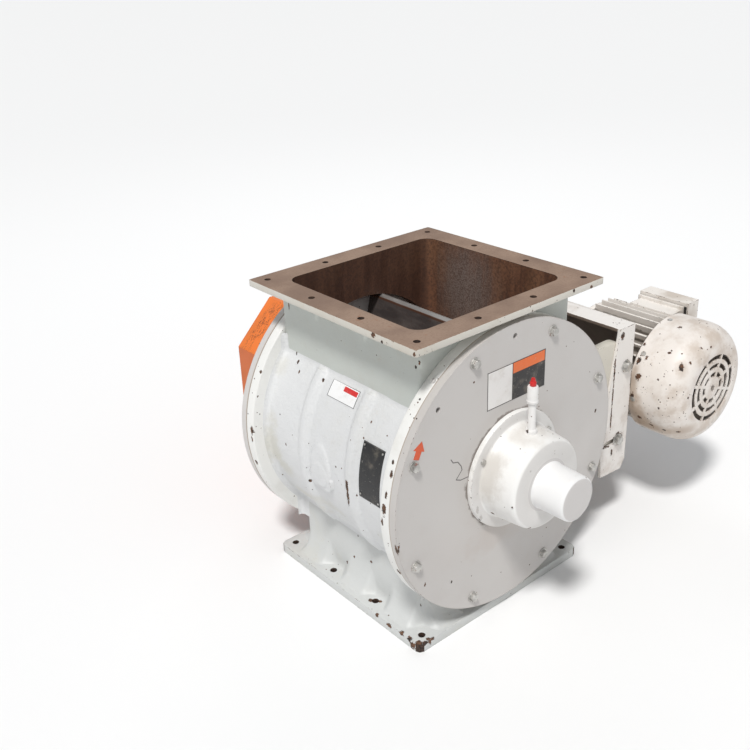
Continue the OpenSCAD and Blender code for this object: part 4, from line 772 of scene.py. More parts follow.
def rusted_inside(name, light_patch):
    """Bare iron gone brown: streaks run down, fine darker scale lies over orange, the wall that faces the
    front end is darkened as painted shade, and product has scoured the side of the neck to a speckled grey
    band."""
    material, tree, iron = shader(name)
    place = object_place(tree)
    streaks = noise(tree, stretched(tree, place, (1.0, 1.0, 0.16)), 46.0, 5.0, 0.62)
    scale_noise = noise(tree, place, 170.0, 6.0, 0.70)
    cloud = noise(tree, place, 11.0, 5.0, 0.6)
    colour = blend_colour(tree, ramp(tree, streaks, 0.34, 0.66), (0.115, 0.050, 0.028, 1),
                          (0.205, 0.088, 0.045, 1))
    colour = blend_colour(tree, ramp(tree, cloud, 0.46, 0.68, 0, 0.55), colour, (0.25, 0.12, 0.06, 1))
    colour = blend_colour(tree, ramp(tree, scale_noise, 0.44, 0.62, 0, 0.55), colour,
                          (0.055, 0.028, 0.020, 1))
    if light_patch:
        gap = reach_from(tree, place, [mm * value for value in light_patch], (0.0, 6.5, 4.5))
        torn = plus(tree, gap, times(tree, plus(tree, scale_noise, streaks), 0.5))
        speckle = noise(tree, place, 420.0, 3.0, 0.75)
        grey = blend_colour(tree, ramp(tree, speckle, 0.40, 0.62), (0.27, 0.215, 0.19, 1),
                            (0.125, 0.080, 0.062, 1))
        colour = blend_colour(tree, ramp(tree, torn, 1.25, 0.60, 0, 0.85), colour, grey)
    # Painted shade: walls that face the front end are darkened.
    colour = blend_colour(tree, facing(tree, "Y", -0.5, -0.9, 0.55), colour, (0.040, 0.018, 0.013, 1))
    height = plus(tree, times(tree, scale_noise, 0.6), times(tree, streaks, 0.4))
    wire(tree, iron, colour, ramp(tree, streaks, 0.3, 0.7, 0.50, 0.78), height, 0.45, 0.0014)
    return material


bore_border_x = 198 * mm


def throat(half, side):
    """Inside of a neck: the rounded square opening carried along Z to where it meets the bore, whose height
    at x is the root of the bore radius squared less x squared. side is 1 for the inlet, -1 for the outlet."""
    outline = rounded_square(half - skin_gap, half - skin_gap, opening_corner)[0]
    far_z = housing_top - 0.9 * mm - axis_z if side > 0 else -(axis_z - 2.4 * mm)
    near_z = side * np.sqrt(bore_r ** 2 - outline[:, 0] ** 2)
    share = np.linspace(0, 1, 16)[:, None]
    z = axis_z + far_z + (near_z[None] - far_z) * share
    flat = np.broadcast_to(outline[None], (16, len(outline), 2))
    return surface(np.concatenate([flat, z[..., None]], -1), closed=True, flip=side < 0)


def bore_border(half, side):
    """Bore wall between a neck's opening and the housing's ends: the outline pushed outwards to a rectangle
    and laid on the bore's circle."""
    outline = rounded_square(half, half, opening_corner)[0]
    size = np.array([bore_border_x, half_length])
    outer = outline * np.min(size / np.maximum(np.abs(outline), 1e-9), axis=1)[:, None]
    share = np.linspace(0, 1, 12)[:, None, None]
    flat = outline + (outer - outline) * share
    z = axis_z + side * np.sqrt(bore_r ** 2 - flat[..., :1] ** 2)
    return surface(np.concatenate([flat, z], -1), closed=True, flip=side > 0)


def bore_side(side):
    """Side of the bore between the two borders: an arc of the bore's circle carried along Y."""
    limit = np.arccos(bore_border_x / bore_r)
    turn = np.linspace(limit, -limit, 24)[:, None]
    y = np.linspace(-half_length, half_length, 24)[None, :]
    points = np.stack(np.broadcast_arrays(side * bore_r * np.cos(turn), y, axis_z + bore_r * np.sin(turn)),
                      -1)
    return surface(points, flip=side < 0)


inlet_rust = rusted_inside("inlet_rust", (177.8, 62, 512))
bore_rust = rusted_inside("bore_rust", None)
piece("inlet_inside", [throat(inlet_half, 1)], inlet_rust, "housing", sharp=60)
piece("bore_wall", [throat(outlet_half, -1), bore_border(inlet_half, 1), bore_border(outlet_half, -1),
                    bore_side(1), bore_side(-1)], bore_rust, "housing", sharp=60)


# ---------- Housing: bracket lugs ----------
# Two cast ears at each end of the right side carry the motor bracket, joined to the barrel by a thick web.
lug_outer_y = 186.6 * mm
lug_t = 20 * mm


def slab(outline, y0, y1, corner):
    """Outline (x, z) with rounded corners, extruded along Y, its rims rounded by two short steps."""
    edge = 1.6 * mm
    before, after = np.roll(outline, 1, 0), np.roll(outline, -1, 0)
    a, b = before - outline, after - outline
    near_a, near_b = np.linalg.norm(a, axis=1), np.linalg.norm(b, axis=1)
    cut = np.minimum(corner, np.minimum(near_a, near_b) * 0.45)[:, None]
    a, b = a / near_a[:, None] * cut, b / near_b[:, None] * cut
    t = np.linspace(0, 1, 5)[None, :, None]
    ring = outline[:, None] + (1 - t) ** 2 * a[:, None] + t ** 2 * b[:, None]
    ring = ring.reshape(-1, 2)
    along = np.roll(ring, -1, 0) - np.roll(ring, 1, 0)
    out = np.stack([along[:, 1], -along[:, 0]], -1)
    out /= np.maximum(np.linalg.norm(out, axis=1), 1e-9)[:, None]
    if np.sum(ring[:, 0] * np.roll(ring[:, 1], -1) - np.roll(ring[:, 0], -1) * ring[:, 1]) < 0:
        out = -out
    rows = [(-edge, y0), (-edge * 0.3, y0 + edge * 0.3), (0, y0 + edge), (0, y1 - edge),
            (-edge * 0.3, y1 - edge * 0.3), (-edge, y1)]
    return np.array([np.stack([ring[:, 0] + out[:, 0] * inset, np.full(len(ring), y),
                               ring[:, 1] + out[:, 1] * inset], -1) for inset, y in rows])


ear_x = 384 * mm
web_x = 330 * mm
lug_outline = np.array([[150 * mm, 126 * mm], [346 * mm, 126 * mm], [ear_x, 94 * mm], [ear_x, 48 * mm],
                        [web_x, -4 * mm], [web_x, -54 * mm], [ear_x, -78 * mm], [ear_x, -128 * mm],
                        [300 * mm, -134 * mm], [190 * mm, -114 * mm]]) + np.array([0, axis_z])
lugs = [slab(lug_outline, side * lug_outer_y - (lug_t if side > 0 else 0),
             side * lug_outer_y + (lug_t if side < 0 else 0), 14 * mm) for side in (-1, 1)]
lug_enamel = worn_enamel("lug_enamel", (0.64, 0.605, 0.53), (0.33, 0.25, 0.16), chips=0.8, edge=2.4, dirt=0.6,
                         cast_bump=1.2, cluster_scale=12.0)
solid_piece("bracket_lugs", lugs, lug_enamel, "housing")


# ---------- End plates ----------
# Steel discs bolted to the end rings, sprayed a warmer white than the casting. Dirt gathers round the
# bearing housing and along the rim.
def dress(material, *nodes):
    """Gives CAD nodes a better material."""
    for node in nodes:
        for slot in cad[node].material_slots:
            slot.material = material


def plate_enamel(name, colour):
    """Enamel with brown grime that thins outwards from the bearing housing's edge, a dark line at the joint
    with the ring, and a darker rim."""
    marks = ((-214, -225, 158, 2.2, 4), (205, -225, 190, 2, 2), (-98, -225, 505, 2, 2),
             (150, -225, 130, 2.4, 2),
             (-150, -225, 130, 2, 3), (236, -225, 330, 3, 5), (60, -225, 60, 2.2, 2),
             (-272, -222, 260, 4, 12))
    # The first blob is a painted shadow below and left of the bearing housing; the second, faint, darkens a
    # wider patch further left.
    material = worn_enamel(name, colour, (0.50, 0.44, 0.40), chips=0.07, edge=1.8, dirt=0.10, cast_bump=0.22,
                           gloss=0.36, marks=marks, cluster_scale=6.0,
                           stains_and_shade=((-50, -225, 176, 90, 34, 0.40), (-140, -225, 200, 120, 60, 0.10)))
    tree = material.node_tree
    film = tree.nodes["Principled BSDF"]
    under = film.inputs["Base Color"].links[0].from_socket
    place = object_place(tree)
    reach = reach_from(tree, place, (0.0, 0.0, axis_z), across_y)
    ragged = noise(tree, place, 30.0, 5.0, 0.65)
    torn = shifted(tree, reach, ragged, 0.03)
    caulk = times(tree, ramp(tree, torn, 0.1185, 0.1135), 0.75)
    colour_now = blend_colour(tree, caulk, under, (0.10, 0.075, 0.06, 1))
    halo = times(tree, ramp(tree, torn, 0.15, 0.115), 0.12)
    colour_now = blend_colour(tree, halo, colour_now, (0.40, 0.33, 0.28, 1))
    seam = shifted(tree, reach, ragged, 0.004)
    depth = calc(tree, "ABSOLUTE", add(tree, "SeparateXYZ", {"Vector": place}).outputs["Y"])
    joint = times(tree, ramp(tree, seam, 0.2740, 0.2755), ramp(tree, depth, 0.2112, 0.2100))
    rim = highest(tree, times(tree, ramp(tree, torn, 0.270, 0.282), 0.10),
               times(tree, joint, 0.8))
    colour_now = blend_colour(tree, rim, colour_now, (0.42, 0.34, 0.27, 1))
    tree.links.new(colour_now, film.inputs["Base Color"])
    return material


def pen_line(material, corners):
    """Black pen strokes on the front plate's face through (x, z) corners in mm."""
    tree = material.node_tree
    place = object_place(tree)
    face = -plate_face_y / mm
    ink = None
    for (x0, z0), (x1, z1) in zip(corners, corners[1:]):
        line = stroke(tree, place, (x0, face, z0), (x1, face, z1), 1.15)
        ink = line if ink is None else highest(tree, ink, line)
    overlay(material, times(tree, ink, 0.85), (0.04, 0.035, 0.035))


# The front plate's enamel is warm like the rear plate's but set darker: the darkening is painted shade for a
# face turned from the light.
front_plate_shaded_enamel = plate_enamel("front_plate_shaded_enamel", (0.575, 0.55, 0.53))
pen_line(front_plate_shaded_enamel, [(-151, 380), (-146, 372), (-135, 369), (-127, 358), (-125, 350), (-139, 336),
                              (-128, 331), (-106, 330), (-91, 339)])
dress(front_plate_shaded_enamel, "front_end_plate")
dress(plate_enamel("rear_plate_enamel", (0.65, 0.63, 0.615)), "rear_end_plate")


# ---------- Hex bolts ----------
# Zinc-plated hex bolts on washers hold the end plates, the bracket and the gear unit. Each head is forged
# with a round chamfer; the zinc has dulled and rusts in patches.
def hex_head(place, direction, across, head, washer, turn):
    """Head and washer as one wall from the seat outwards along Y: a round washer, a six-sided prism whose
    radius at each angle is half the flats over the cosine of the angle from the flat's middle, a chamfer
    where that radius is cut to a circle, and a flat top."""
    steps = 48
    angle = np.linspace(0, 2 * pi, steps, endpoint=False)
    hexagon = across / 2 / np.cos((angle + turn) % (pi / 3) - pi / 6)
    circle = np.full(steps, across / 2)
    rows = [(circle * 1.46, 0.0), (circle * 1.50, 0.25 * washer), (circle * 1.50, 0.75 * washer),
            (circle * 1.44, washer), (hexagon, washer), (hexagon, washer + head * 0.80),
            (np.minimum(hexagon, circle * 1.045), washer + head * 0.93), (circle * 0.93, washer + head),
            (circle * 0.80, washer + head * 0.985), (circle * 0.4, washer + head * 0.985)]
    return np.array([np.stack([place[0] + radius * np.cos(angle), np.full(steps, place[1] + direction * out),
                               place[2] + radius * np.sin(angle)], -1) for radius, out in rows])


def plated_steel(name, rust_share):
    """Dull zinc: cloudy grey, fine scratches, and brown rust where noise is high."""
    material, tree, metal = shader(name)
    place = object_place(tree)
    cloud = noise(tree, place, 60.0, 4.0, 0.6)
    grain = noise(tree, place, 420.0, 3.0, 0.6)
    colour = blend_colour(tree, ramp(tree, cloud, 0.3, 0.7), (0.36, 0.35, 0.33, 1), (0.70, 0.69, 0.66, 1))
    rust = ramp(tree, plus(tree, times(tree, cloud, 0.5), times(tree, grain, 0.5)),
                0.62 - 0.08 * rust_share, 0.70 - 0.08 * rust_share)
    colour = blend_colour(tree, rust, colour, (0.16, 0.075, 0.04, 1))
    tree.links.new(ramp(tree, rust, 0.0, 1.0, 0.75, 0.1), metal.inputs["Metallic"])
    wire(tree, metal, colour, ramp(tree, cloud, 0.3, 0.7, 0.34, 0.55), grain, 0.2, 0.0004)
    return material


bolt_zinc = plated_steel("bolt_zinc", 0.6)
clean_steel = plated_steel("clean_steel", 0.0)
bolt_circle = 253.7 * mm
bolt_flats = 14.3 * mm
for name, direction, node in (("front_bolt_heads", -1, "front_plate_bolts"),
                              ("rear_bolt_heads", 1, "rear_plate_bolts")):
    seat = direction * plate_face_y
    heads = []
    for number in range(8):
        angle = radians(22.5 + 45 * number)
        heads.append(hex_head((bolt_circle * cos(angle), seat, axis_z + bolt_circle * sin(angle)), direction,
                              bolt_flats, 6.5 * mm, 2 * mm, 1.7 * number))
    solid_piece(name, heads, bolt_zinc, node, sharp=28)

bracket_face_y = 192.95 * mm
bracket_heads = [hex_head((x, side * bracket_face_y, z), side, 18 * mm, 7.5 * mm, 2 * mm, x * 40)
                 for side in (-1, 1) for x, z in ((370 * mm, 370 * mm), (360 * mm, 206 * mm))]
solid_piece("bracket_bolt_heads", bracket_heads, bolt_zinc, "bracket_bolts", sharp=28)
dress(bolt_zinc, "foot_bolts", "bearing_housing_screws", "guard_screws", "guard_standoffs",
      "fan_cover_screws", "terminal_box_screws")


# ---------- Bearing housings, end cap and seals ----------
# Grey iron castings turned on their seats: a flange screwed to the end plate, a slightly tapered drum and,
# at the front, a pressed-in cap over the shaft end. All sprayed white, worn on the rounded edges; their
# faces that look to the front are darkened as painted shade.
def paint_front_shade(material, strength, colour):
    """Painted shade: lays a darker colour over the faces that look to the front."""
    tree = material.node_tree
    overlay(material, times(tree, facing(tree, "Y", -0.8, -0.97), strength), colour)


# Its stain blobs darken the drum's left root, its underside and its top round the grease pipe.
drum_enamel = worn_enamel("drum_enamel", (0.86, 0.85, 0.83), (0.50, 0.45, 0.39), chips=0.45, edge=3.0,
                          dirt=0.30,
                          cast_bump=0.55, cluster_scale=8.0,
                          marks=((-62, -232, 372, 3, 4), (-81, -300, 292, 3, 4), (-40, -306, 232, 4, 3),
                                 (-55, -262, 236, 5, 6), (-70, -246, 250, 4, 7), (-88, -234, 240, 4, 6),
                                 (-46, -306, 350, 2.5, 2), (-96, -234, 262, 3, 9)),
                          stains_and_shade=((-80, -244, 330, 40, 70, 0.55), (-30, -250, 215, 90, 26, 0.55),
                                  (0, -262, 385, 50, 14, 0.40)))
# Painted shade on the front faces of the drum and of the cap.
paint_front_shade(drum_enamel, 0.8, (0.66, 0.64, 0.62))
cap_enamel = worn_enamel("cap_enamel", (0.87, 0.865, 0.86), (0.66, 0.62, 0.58), chips=0.18, edge=3.0,
                         dirt=0.12,
                         cast_bump=0.25, gloss=0.28, cluster_scale=9.0)
paint_front_shade(cap_enamel, 0.9, (0.58, 0.555, 0.54))
for name, direction, node in (("front_bearing_drum", -1, "front_bearing_housing"),
                              ("rear_bearing_drum", 1, "rear_bearing_housing")):
    drum_row = np.array([(112, 224.75), (112, 232.6), (111.6, 233.7), (110.4, 234.2), (97, 234.2),
                         (93.6, 234.9),
                          (91.6, 236.6), (90.7, 239.6), (89.0, 256), (87.1, 278), (85.9, 290), (85.2, 297.5),
                          (83.6, 302.4), (80.6, 305.6), (76.4, 306.6), (60, 306.6), (44, 306.6)]) * mm
    drum_row[:, 1] *= direction
    piece(name, [turned(drum_row, 160, flip=direction > 0)], drum_enamel, node)

cap_row = np.array([(52, 306.5), (46, 306.7), (43.9, 307.6), (42.9, 309.6), (42.6, 313), (42.1, 340),
                    (41.6, 364),
                    (41.2, 368), (39.9, 370.9), (37.4, 372.4), (34.5, 372.7), (18, 372.7), (0.4, 372.7)]) * mm
cap_row[:, 1] *= -1
piece("shaft_end_cap", [turned(cap_row, 120)], cap_enamel, "front_end_cap")
dress(clean_steel, "rear_bearing_cover", "bearing_outer_rings", "bearing_inner_rings", "bearing_balls",
      "gear_bearings", "motor_bearings")


def soft_black(name, colour, grain_scale, shine):
    """Moulded rubber or plastic: nearly black, dusty in patches, with a fine moulded grain."""
    material, tree, rubber = shader(name)
    place = object_place(tree)
    dust = noise(tree, place, 30.0, 5.0, 0.6)
    grain = noise(tree, place, grain_scale, 3.0, 0.6)
    pale = [0.6 * c + 0.06 for c in colour]
    dusty = blend_colour(tree, ramp(tree, dust, 0.42, 0.68, 0, 0.6), (*colour, 1), (*pale, 1))
    wire(tree, rubber, dusty, ramp(tree, dust, 0.3, 0.7, shine, shine + 0.2), grain, 0.25, 0.0003)
    return material


seal_rubber = soft_black("seal_rubber", (0.018, 0.016, 0.015), 600.0, 0.5)
dress(seal_rubber, "shaft_seals", "output_seal", "terminal_box_gasket")


# ---------- Grease pipe ----------
# A short steel pipe screwed into the drum through a welded collar, with a coupling on top and a red
# moulded plug that keeps dirt out of it. Pipe, collar and coupling were painted with the housing.
pipe_y = -266.7 * mm


def mottled(name, scale, first, second, edges, shine, strength, distance, stretch=(1.0, 1.0, 1.0)):
    """Two colours mixed by one noise, which also sets the roughness and the relief."""
    material, tree, film = shader(name)
    cloud = noise(tree, stretched(tree, object_place(tree), stretch), scale, 4.0, 0.6)
    colour = blend_colour(tree, ramp(tree, cloud, *edges), first, second)
    wire(tree, film, colour, ramp(tree, cloud, 0.3, 0.7, *shine), cloud, strength, distance)
    return material


def upright_turned(profile, x, y, steps=64):
    """Profile of (radius, z) points turned once about the vertical line through (x, y)."""
    turn = np.linspace(0, 2 * pi, steps, endpoint=False)[None, :]
    radius, z = profile[:, :1], profile[:, 1:]
    points = np.stack(np.broadcast_arrays(x + radius * np.cos(turn), y + radius * np.sin(turn), z), -1)
    return surface(points, closed=True)


pipe_row = np.array([(10.2, 387.6), (10.35, 389.0), (10.35, 396.6), (9.6, 398.0), (7.2, 398.4), (6.85, 399.4),
                     (6.85, 447.9), (8.6, 448.0), (9.6, 448.6), (10.3, 449.6), (10.3, 453.0), (9.5, 454.0),
                     (9.35, 456), (9.35, 477.6), (8.6, 479.6), (7.2, 480.0), (4.5, 480.0)]) * mm
pipe_enamel = worn_enamel("pipe_enamel", (0.80, 0.785, 0.77), (0.48, 0.42, 0.36), chips=0.5, edge=1.2,
                          dirt=0.35,
                          cast_bump=0.3, cluster_scale=20.0,
                          marks=((0, -273, 392, 3, 3), (-9, -266, 396, 3, 3)))
pipe = piece("grease_pipe_and_coupling", [upright_turned(pipe_row, 0, pipe_y)], pipe_enamel, "grease_pipe")
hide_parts("grease_coupling")

plug_plastic = mottled("red_plug_plastic", 90.0, (0.62, 0.018, 0.016, 1), (0.42, 0.012, 0.014, 1),
                       (0.35, 0.7),
                       (0.32, 0.48), 0.3, 0.0005)
plug_row = np.array([(3.9, 468), (3.9, 480.1), (5.1, 480.15), (5.5, 480.7), (5.5, 486.6), (5.0, 487.6),
                     (4.5, 488.1),
                     (4.3, 489.4), (3.6, 492.6), (2.7, 494.4), (1.4, 494.95), (0.2, 495)]) * mm
piece("red_plug", [upright_turned(plug_row, 0, pipe_y, 48)], plug_plastic, "grease_plug")
neck_plug_enamel = worn_enamel("neck_plug_enamel", (0.82, 0.80, 0.78), (0.5, 0.44, 0.38), chips=0.6, edge=1.0,
                               dirt=0.4, cast_bump=0.3, cluster_scale=20.0)
dress(neck_plug_enamel, "neck_plug")


# ---------- Rotor ----------
# Steel vanes welded to a tube on the shaft. Their faces are dark with product, the ground tips are bright.
def vane_steel(name):
    """Dark rolled steel with brown film; it is bright where the distance from the axis passes the tip land,
    with a rust line just inside it."""
    material, tree, metal = shader(name)
    place = object_place(tree)
    reach = reach_from(tree, place, (0.0, 0.0, axis_z), across_y)
    film = noise(tree, stretched(tree, place, (1.0, 0.25, 1.0)), 38.0, 5.0, 0.6)
    grain = noise(tree, place, 260.0, 4.0, 0.6)
    colour = blend_colour(tree, ramp(tree, film, 0.35, 0.68), (0.11, 0.092, 0.088, 1), (0.21, 0.175, 0.16, 1))
    colour = blend_colour(tree, ramp(tree, grain, 0.55, 0.72, 0, 0.6), colour, (0.12, 0.06, 0.035, 1))
    torn = shifted(tree, reach, film, 0.006)
    line = times(tree, ramp(tree, torn, 0.2035, 0.2065), ramp(tree, torn, 0.2105, 0.2085))
    colour = blend_colour(tree, times(tree, line, 0.8), colour, (0.17, 0.07, 0.035, 1))
    tip = ramp(tree, reach, 0.2092, 0.2104)
    colour = blend_colour(tree, tip, colour, (0.52, 0.50, 0.48, 1))
    tree.links.new(ramp(tree, tip, 0.0, 1.0, 0.55, 0.85), metal.inputs["Metallic"])
    wire(tree, metal, colour, ramp(tree, film, 0.3, 0.7, 0.38, 0.62), grain, 0.25, 0.0005)
    return material


rotor_steel = vane_steel("rotor_steel")
dress(rotor_steel, "rotor_vanes", "rotor_hub")


def oiled_steel(name, dark, light, oil):
    """Machined steel with an oil film: turning lines round it, dark oil where noise is high."""
    material, tree, metal = shader(name)
    place = object_place(tree)
    rings = noise(tree, stretched(tree, place, (0.12, 1.0, 0.12)), 520.0, 3.0, 0.6)
    cloud = noise(tree, place, 34.0, 5.0, 0.6)
    colour = blend_colour(tree, ramp(tree, rings, 0.35, 0.65), (*dark, 1), (*light, 1))
    colour = blend_colour(tree, ramp(tree, cloud, 0.45, 0.70, 0, oil), colour, (0.035, 0.026, 0.018, 1))
    metal.inputs["Metallic"].default_value = 0.9
    wire(tree, metal, colour, ramp(tree, cloud, 0.3, 0.7, 0.26, 0.46), rings, 0.15, 0.0003)
    return material


shaft_steel = oiled_steel("shaft_steel", (0.42, 0.41, 0.40), (0.58, 0.57, 0.55), 0.35)
chain_steel = oiled_steel("chain_steel", (0.14, 0.13, 0.125), (0.24, 0.225, 0.21), 0.7)
gear_steel = oiled_steel("gear_steel", (0.34, 0.33, 0.31), (0.50, 0.48, 0.45), 0.5)
dress(shaft_steel, "rotor_shaft", "rotor_key", "sprocket_key", "gear_output_shaft", "motor_shaft",
      "chain_rollers")
dress(chain_steel, "driven_sprocket", "drive_sprocket", "chain_link_plates")
dress(gear_steel, "output_wheel", "counter_wheel", "countershaft", "motor_rotor")


# ---------- Chain guard ----------
# Folded and welded sheet, sprayed safety orange; scraped along its folds.
def guard_paint():
    """Orange enamel, darkened with painted shade on the end that faces -X, with thin wandering scrapes on the
    slope above it.
    """
    paint = worn_enamel("guard_enamel", (0.83, 0.20, 0.035), (0.36, 0.13, 0.05), chips=0.55, edge=1.6,
                        dirt=0.35,
                        cast_bump=0.12, gloss=0.38, cluster_scale=9.0)
    tree = paint.node_tree
    place = object_place(tree)
    wander = noise(tree, stretched(tree, place, (0.5, 1.6, 0.5)), 110.0, 3.0, 0.6)
    line = ramp(tree, calc(tree, "ABSOLUTE", minus(tree, wander, 0.5)), 0.022, 0.010)
    patch = ramp(tree, noise(tree, place, 13.0, 2.0, 0.5), 0.46, 0.56)
    slope = times(tree, facing(tree, "X", -0.2, -0.4), facing(tree, "Z", 0.2, 0.4))
    inboard = ramp(tree, add(tree, "SeparateXYZ", {"Vector": place}).outputs["Y"], 0.362, 0.352)
    scrape = times(tree, times(tree, line, patch), times(tree, slope, inboard))
    # Painted shade: the end that faces -X is laid over with a darker orange.
    overlay(paint, times(tree, facing(tree, "X", -0.9, -0.98), 0.6), (0.50, 0.095, 0.015))
    overlay(paint, times(tree, scrape, 0.85), (0.05, 0.025, 0.018))
    return paint


dress(guard_paint(), "guard_cover", "guard_back_plate")


# ---------- Motor bracket ----------
# Bent and welded plate on the lugs, painted white; brown shows along its cut edges. Inside it, dark brown is
# part bare metal and part painted shade, and its undersides carry painted shade.
def web_shade(material):
    """Dark brown on the web's face towards the valve, above its lower edge, partly bare metal and partly
    painted shade, and painted shade on every underside.
    """
    tree = material.node_tree
    split = add(tree, "SeparateXYZ", {"Vector": object_place(tree)})
    within = ramp(tree, calc(tree, "ABSOLUTE", split.outputs["Y"]), 0.1865, 0.1850)
    upper = ramp(tree, split.outputs["Z"], 0.285, 0.335)
    web = times(tree, times(tree, facing(tree, "X", -0.5, -0.8), within), upper)
    # Painted shade on every underside, merged with the web's brown.
    brown = highest(tree, web, facing(tree, "Z", -0.5, -0.8))
    overlay(material, times(tree, brown, 0.93), (0.115, 0.072, 0.045))


bracket_enamel = worn_enamel("bracket_enamel", (0.82, 0.785, 0.75), (0.40, 0.31, 0.24), chips=0.6, edge=2.4,
                             dirt=0.45, cast_bump=0.25, cluster_scale=8.0,
                             marks=((352, -193, 440, 6, 8), (334, -193, 430, 2.4, 30),
                                    (334, -193, 372, 2.4, 32),
                                    (334, -193, 316, 2.2, 28), (334, -193, 262, 2.2, 28),
                                    (392, -193, 330, 2, 20), (370, -193, 380, 5, 4), (326, -193, 203, 12, 5),
                                    (342, -193, 208, 9, 4), (362, -193, 214, 13, 8), (345, -193, 180, 3, 9)))
web_shade(bracket_enamel)
dress(bracket_enamel, "motor_bracket")


# ---------- Gear unit and motor ----------
# Cast iron gear case and finned aluminium motor frame, sprayed white over older paint. The film has
# yellowed, is full of small chips and lets rust through along the rims.
motor_marks = ((620, -120, 428, 9, 6), (626, -150, 430, 6, 4), (600, -178, 400, 5, 9), (636, -178, 372, 4, 8),
               (470, -178, 372, 5, 5), (440, -180, 330, 4, 6), (560, -20, 300, 8, 8), (446, 60, 372, 8, 7),
               (446, 160, 260, 7, 9), (526, 120, 470, 9, 8), (606, 90, 360, 8, 9))
motor_enamel = worn_enamel("motor_enamel", (0.82, 0.775, 0.725), (0.46, 0.38, 0.30), chips=1.15, edge=2.4,
                           dirt=0.55,
                           cast_bump=0.45, gloss=0.36, marks=motor_marks, cluster_scale=10.0,
                           stains_and_shade=((630, -130, 430, 40, 30, 0.6), (610, -178, 395, 30, 30, 0.45)))
dress(motor_enamel, "gear_case", "gear_case_cover", "motor_end_shield", "terminal_box_lid")
fin_enamel = worn_enamel("fin_enamel", (0.82, 0.775, 0.725), (0.46, 0.38, 0.30), chips=1.0, edge=1.6,
                         dirt=0.6,
                         cast_bump=0.6, gloss=0.36, marks=motor_marks, cluster_scale=12.0)
fin_tree = fin_enamel.node_tree
fin_place = object_place(fin_tree)
# Painted shade: the frame is darkened towards the motor's axis, in the roots between the fins.
from_shaft = reach_from(fin_tree, fin_place, (motor_x, 0.0, axis_z), across_y)
from_shaft = shifted(fin_tree, from_shaft, noise(fin_tree, fin_place, 40.0, 4.0, 0.6), 0.012)
overlay(fin_enamel, ramp(fin_tree, from_shaft, 0.106, 0.099, 0.0, 0.85), (0.17, 0.14, 0.115))
dress(fin_enamel, "motor_frame")
dress(seal_rubber, "conduit_plug")
fan_plastic = soft_black("fan_plastic", (0.03, 0.03, 0.032), 300.0, 0.42)
dress(fan_plastic, "cooling_fan")

winding = mottled("varnished_winding", 300.0, (0.10, 0.035, 0.012, 1), (0.35, 0.14, 0.05, 1), (0.35, 0.65),
                  (0.3, 0.5), 0.5, 0.0008, stretch=(1.0, 0.2, 1.0))
dress(winding, "motor_stator")


# ---------- Motor: fan cover ----------
# Deep-drawn steel hood over the cooling fan: a straight rim with a dimple under each screw, a rolled
# shoulder, and a flat face with three rings of slots between eight bars.
cover_r = 125 * mm
face_r = 84 * mm
rim_y, shoulder_y, face_y = -184 * mm, -245 * mm, -295 * mm
slot_radii = [62 * mm, 72 * mm], [44 * mm, 53 * mm], [25 * mm, 34 * mm]
bar_width = 7 * mm


def hood():
    """Half profile of (radius, y) turned about the motor's axis: line, quarter ellipse, line. Columns bend so
    that each bar keeps its width: the bar's half angle at radius r is the arcsine of half the width over r.
    Screws at eight angles press a round hollow into the rim."""
    line = np.stack([np.full(12, cover_r), np.linspace(rim_y, shoulder_y, 12)], -1)
    turn = np.linspace(0, pi / 2, 16)[1:]
    shoulder = np.stack([face_r + (cover_r - face_r) * np.cos(turn),
                         shoulder_y + (face_y - shoulder_y) * np.sin(turn)],
                        -1)
    radii = [80, 76, 72, 67, 62, 58, 53, 48.5, 44, 39, 34, 29.5, 25, 20, 14, 9, 3.5]
    flat = np.stack([np.array(radii) * mm, np.full(len(radii), face_y)], -1)
    profile = np.concatenate([line, shoulder, flat])
    radius, y = profile[:, :1], profile[:, 1:]
    bars = np.arange(8) * pi / 4 + radians(20)
    half = np.arcsin(np.clip(bar_width / 2 / np.maximum(radius, bar_width * 0.75), 0, 1)) * np.ones((1, 8))
    open_share = np.linspace(0, 1, 11)[None, None, :-1]
    bar_share = np.linspace(-1, 1, 5)[None, None, :-1]
    bar = bars[None, :, None] + half[..., None] * bar_share
    gap = bars[None, :, None] + half[..., None] + open_share * (pi / 4 - 2 * half[..., None])
    angle = np.concatenate([bar, gap], -1).reshape(len(profile), -1)
    screw = np.radians(8 + 45 * np.arange(8))
    around = (angle[..., None] - screw + pi) % (2 * pi) - pi
    dimple = np.exp(-(np.hypot(around * cover_r, (y - rim_y + 12 * mm)[..., None]) / (8.5 * mm)) ** 4).sum(-1)
    press = np.zeros_like(angle)
    for inner, outer in slot_radii:
        press += np.exp(-((radius - (inner + outer) / 2) / (outer - inner) / 0.62) ** 8)
    spread = radius - 2.6 * mm * dimple
    points = np.stack(np.broadcast_arrays(motor_x + spread * np.cos(-angle), y + 0.9 * mm * press,
                                          axis_z + spread * np.sin(-angle)), -1)
    keep = np.ones(angle.shape, bool)[:-1]
    middle = (profile[:-1, 0] + profile[1:, 0]) / 2
    column = np.arange(angle.shape[1]) % 14
    for inner, outer in slot_radii:
        in_slot = (middle > inner) & (middle < outer) & (y[:-1, 0] < face_y + 1 * mm)
        keep &= ~(in_slot[:, None] & (column >= 4)[None])
    return surface(points, closed=True, keep=keep)


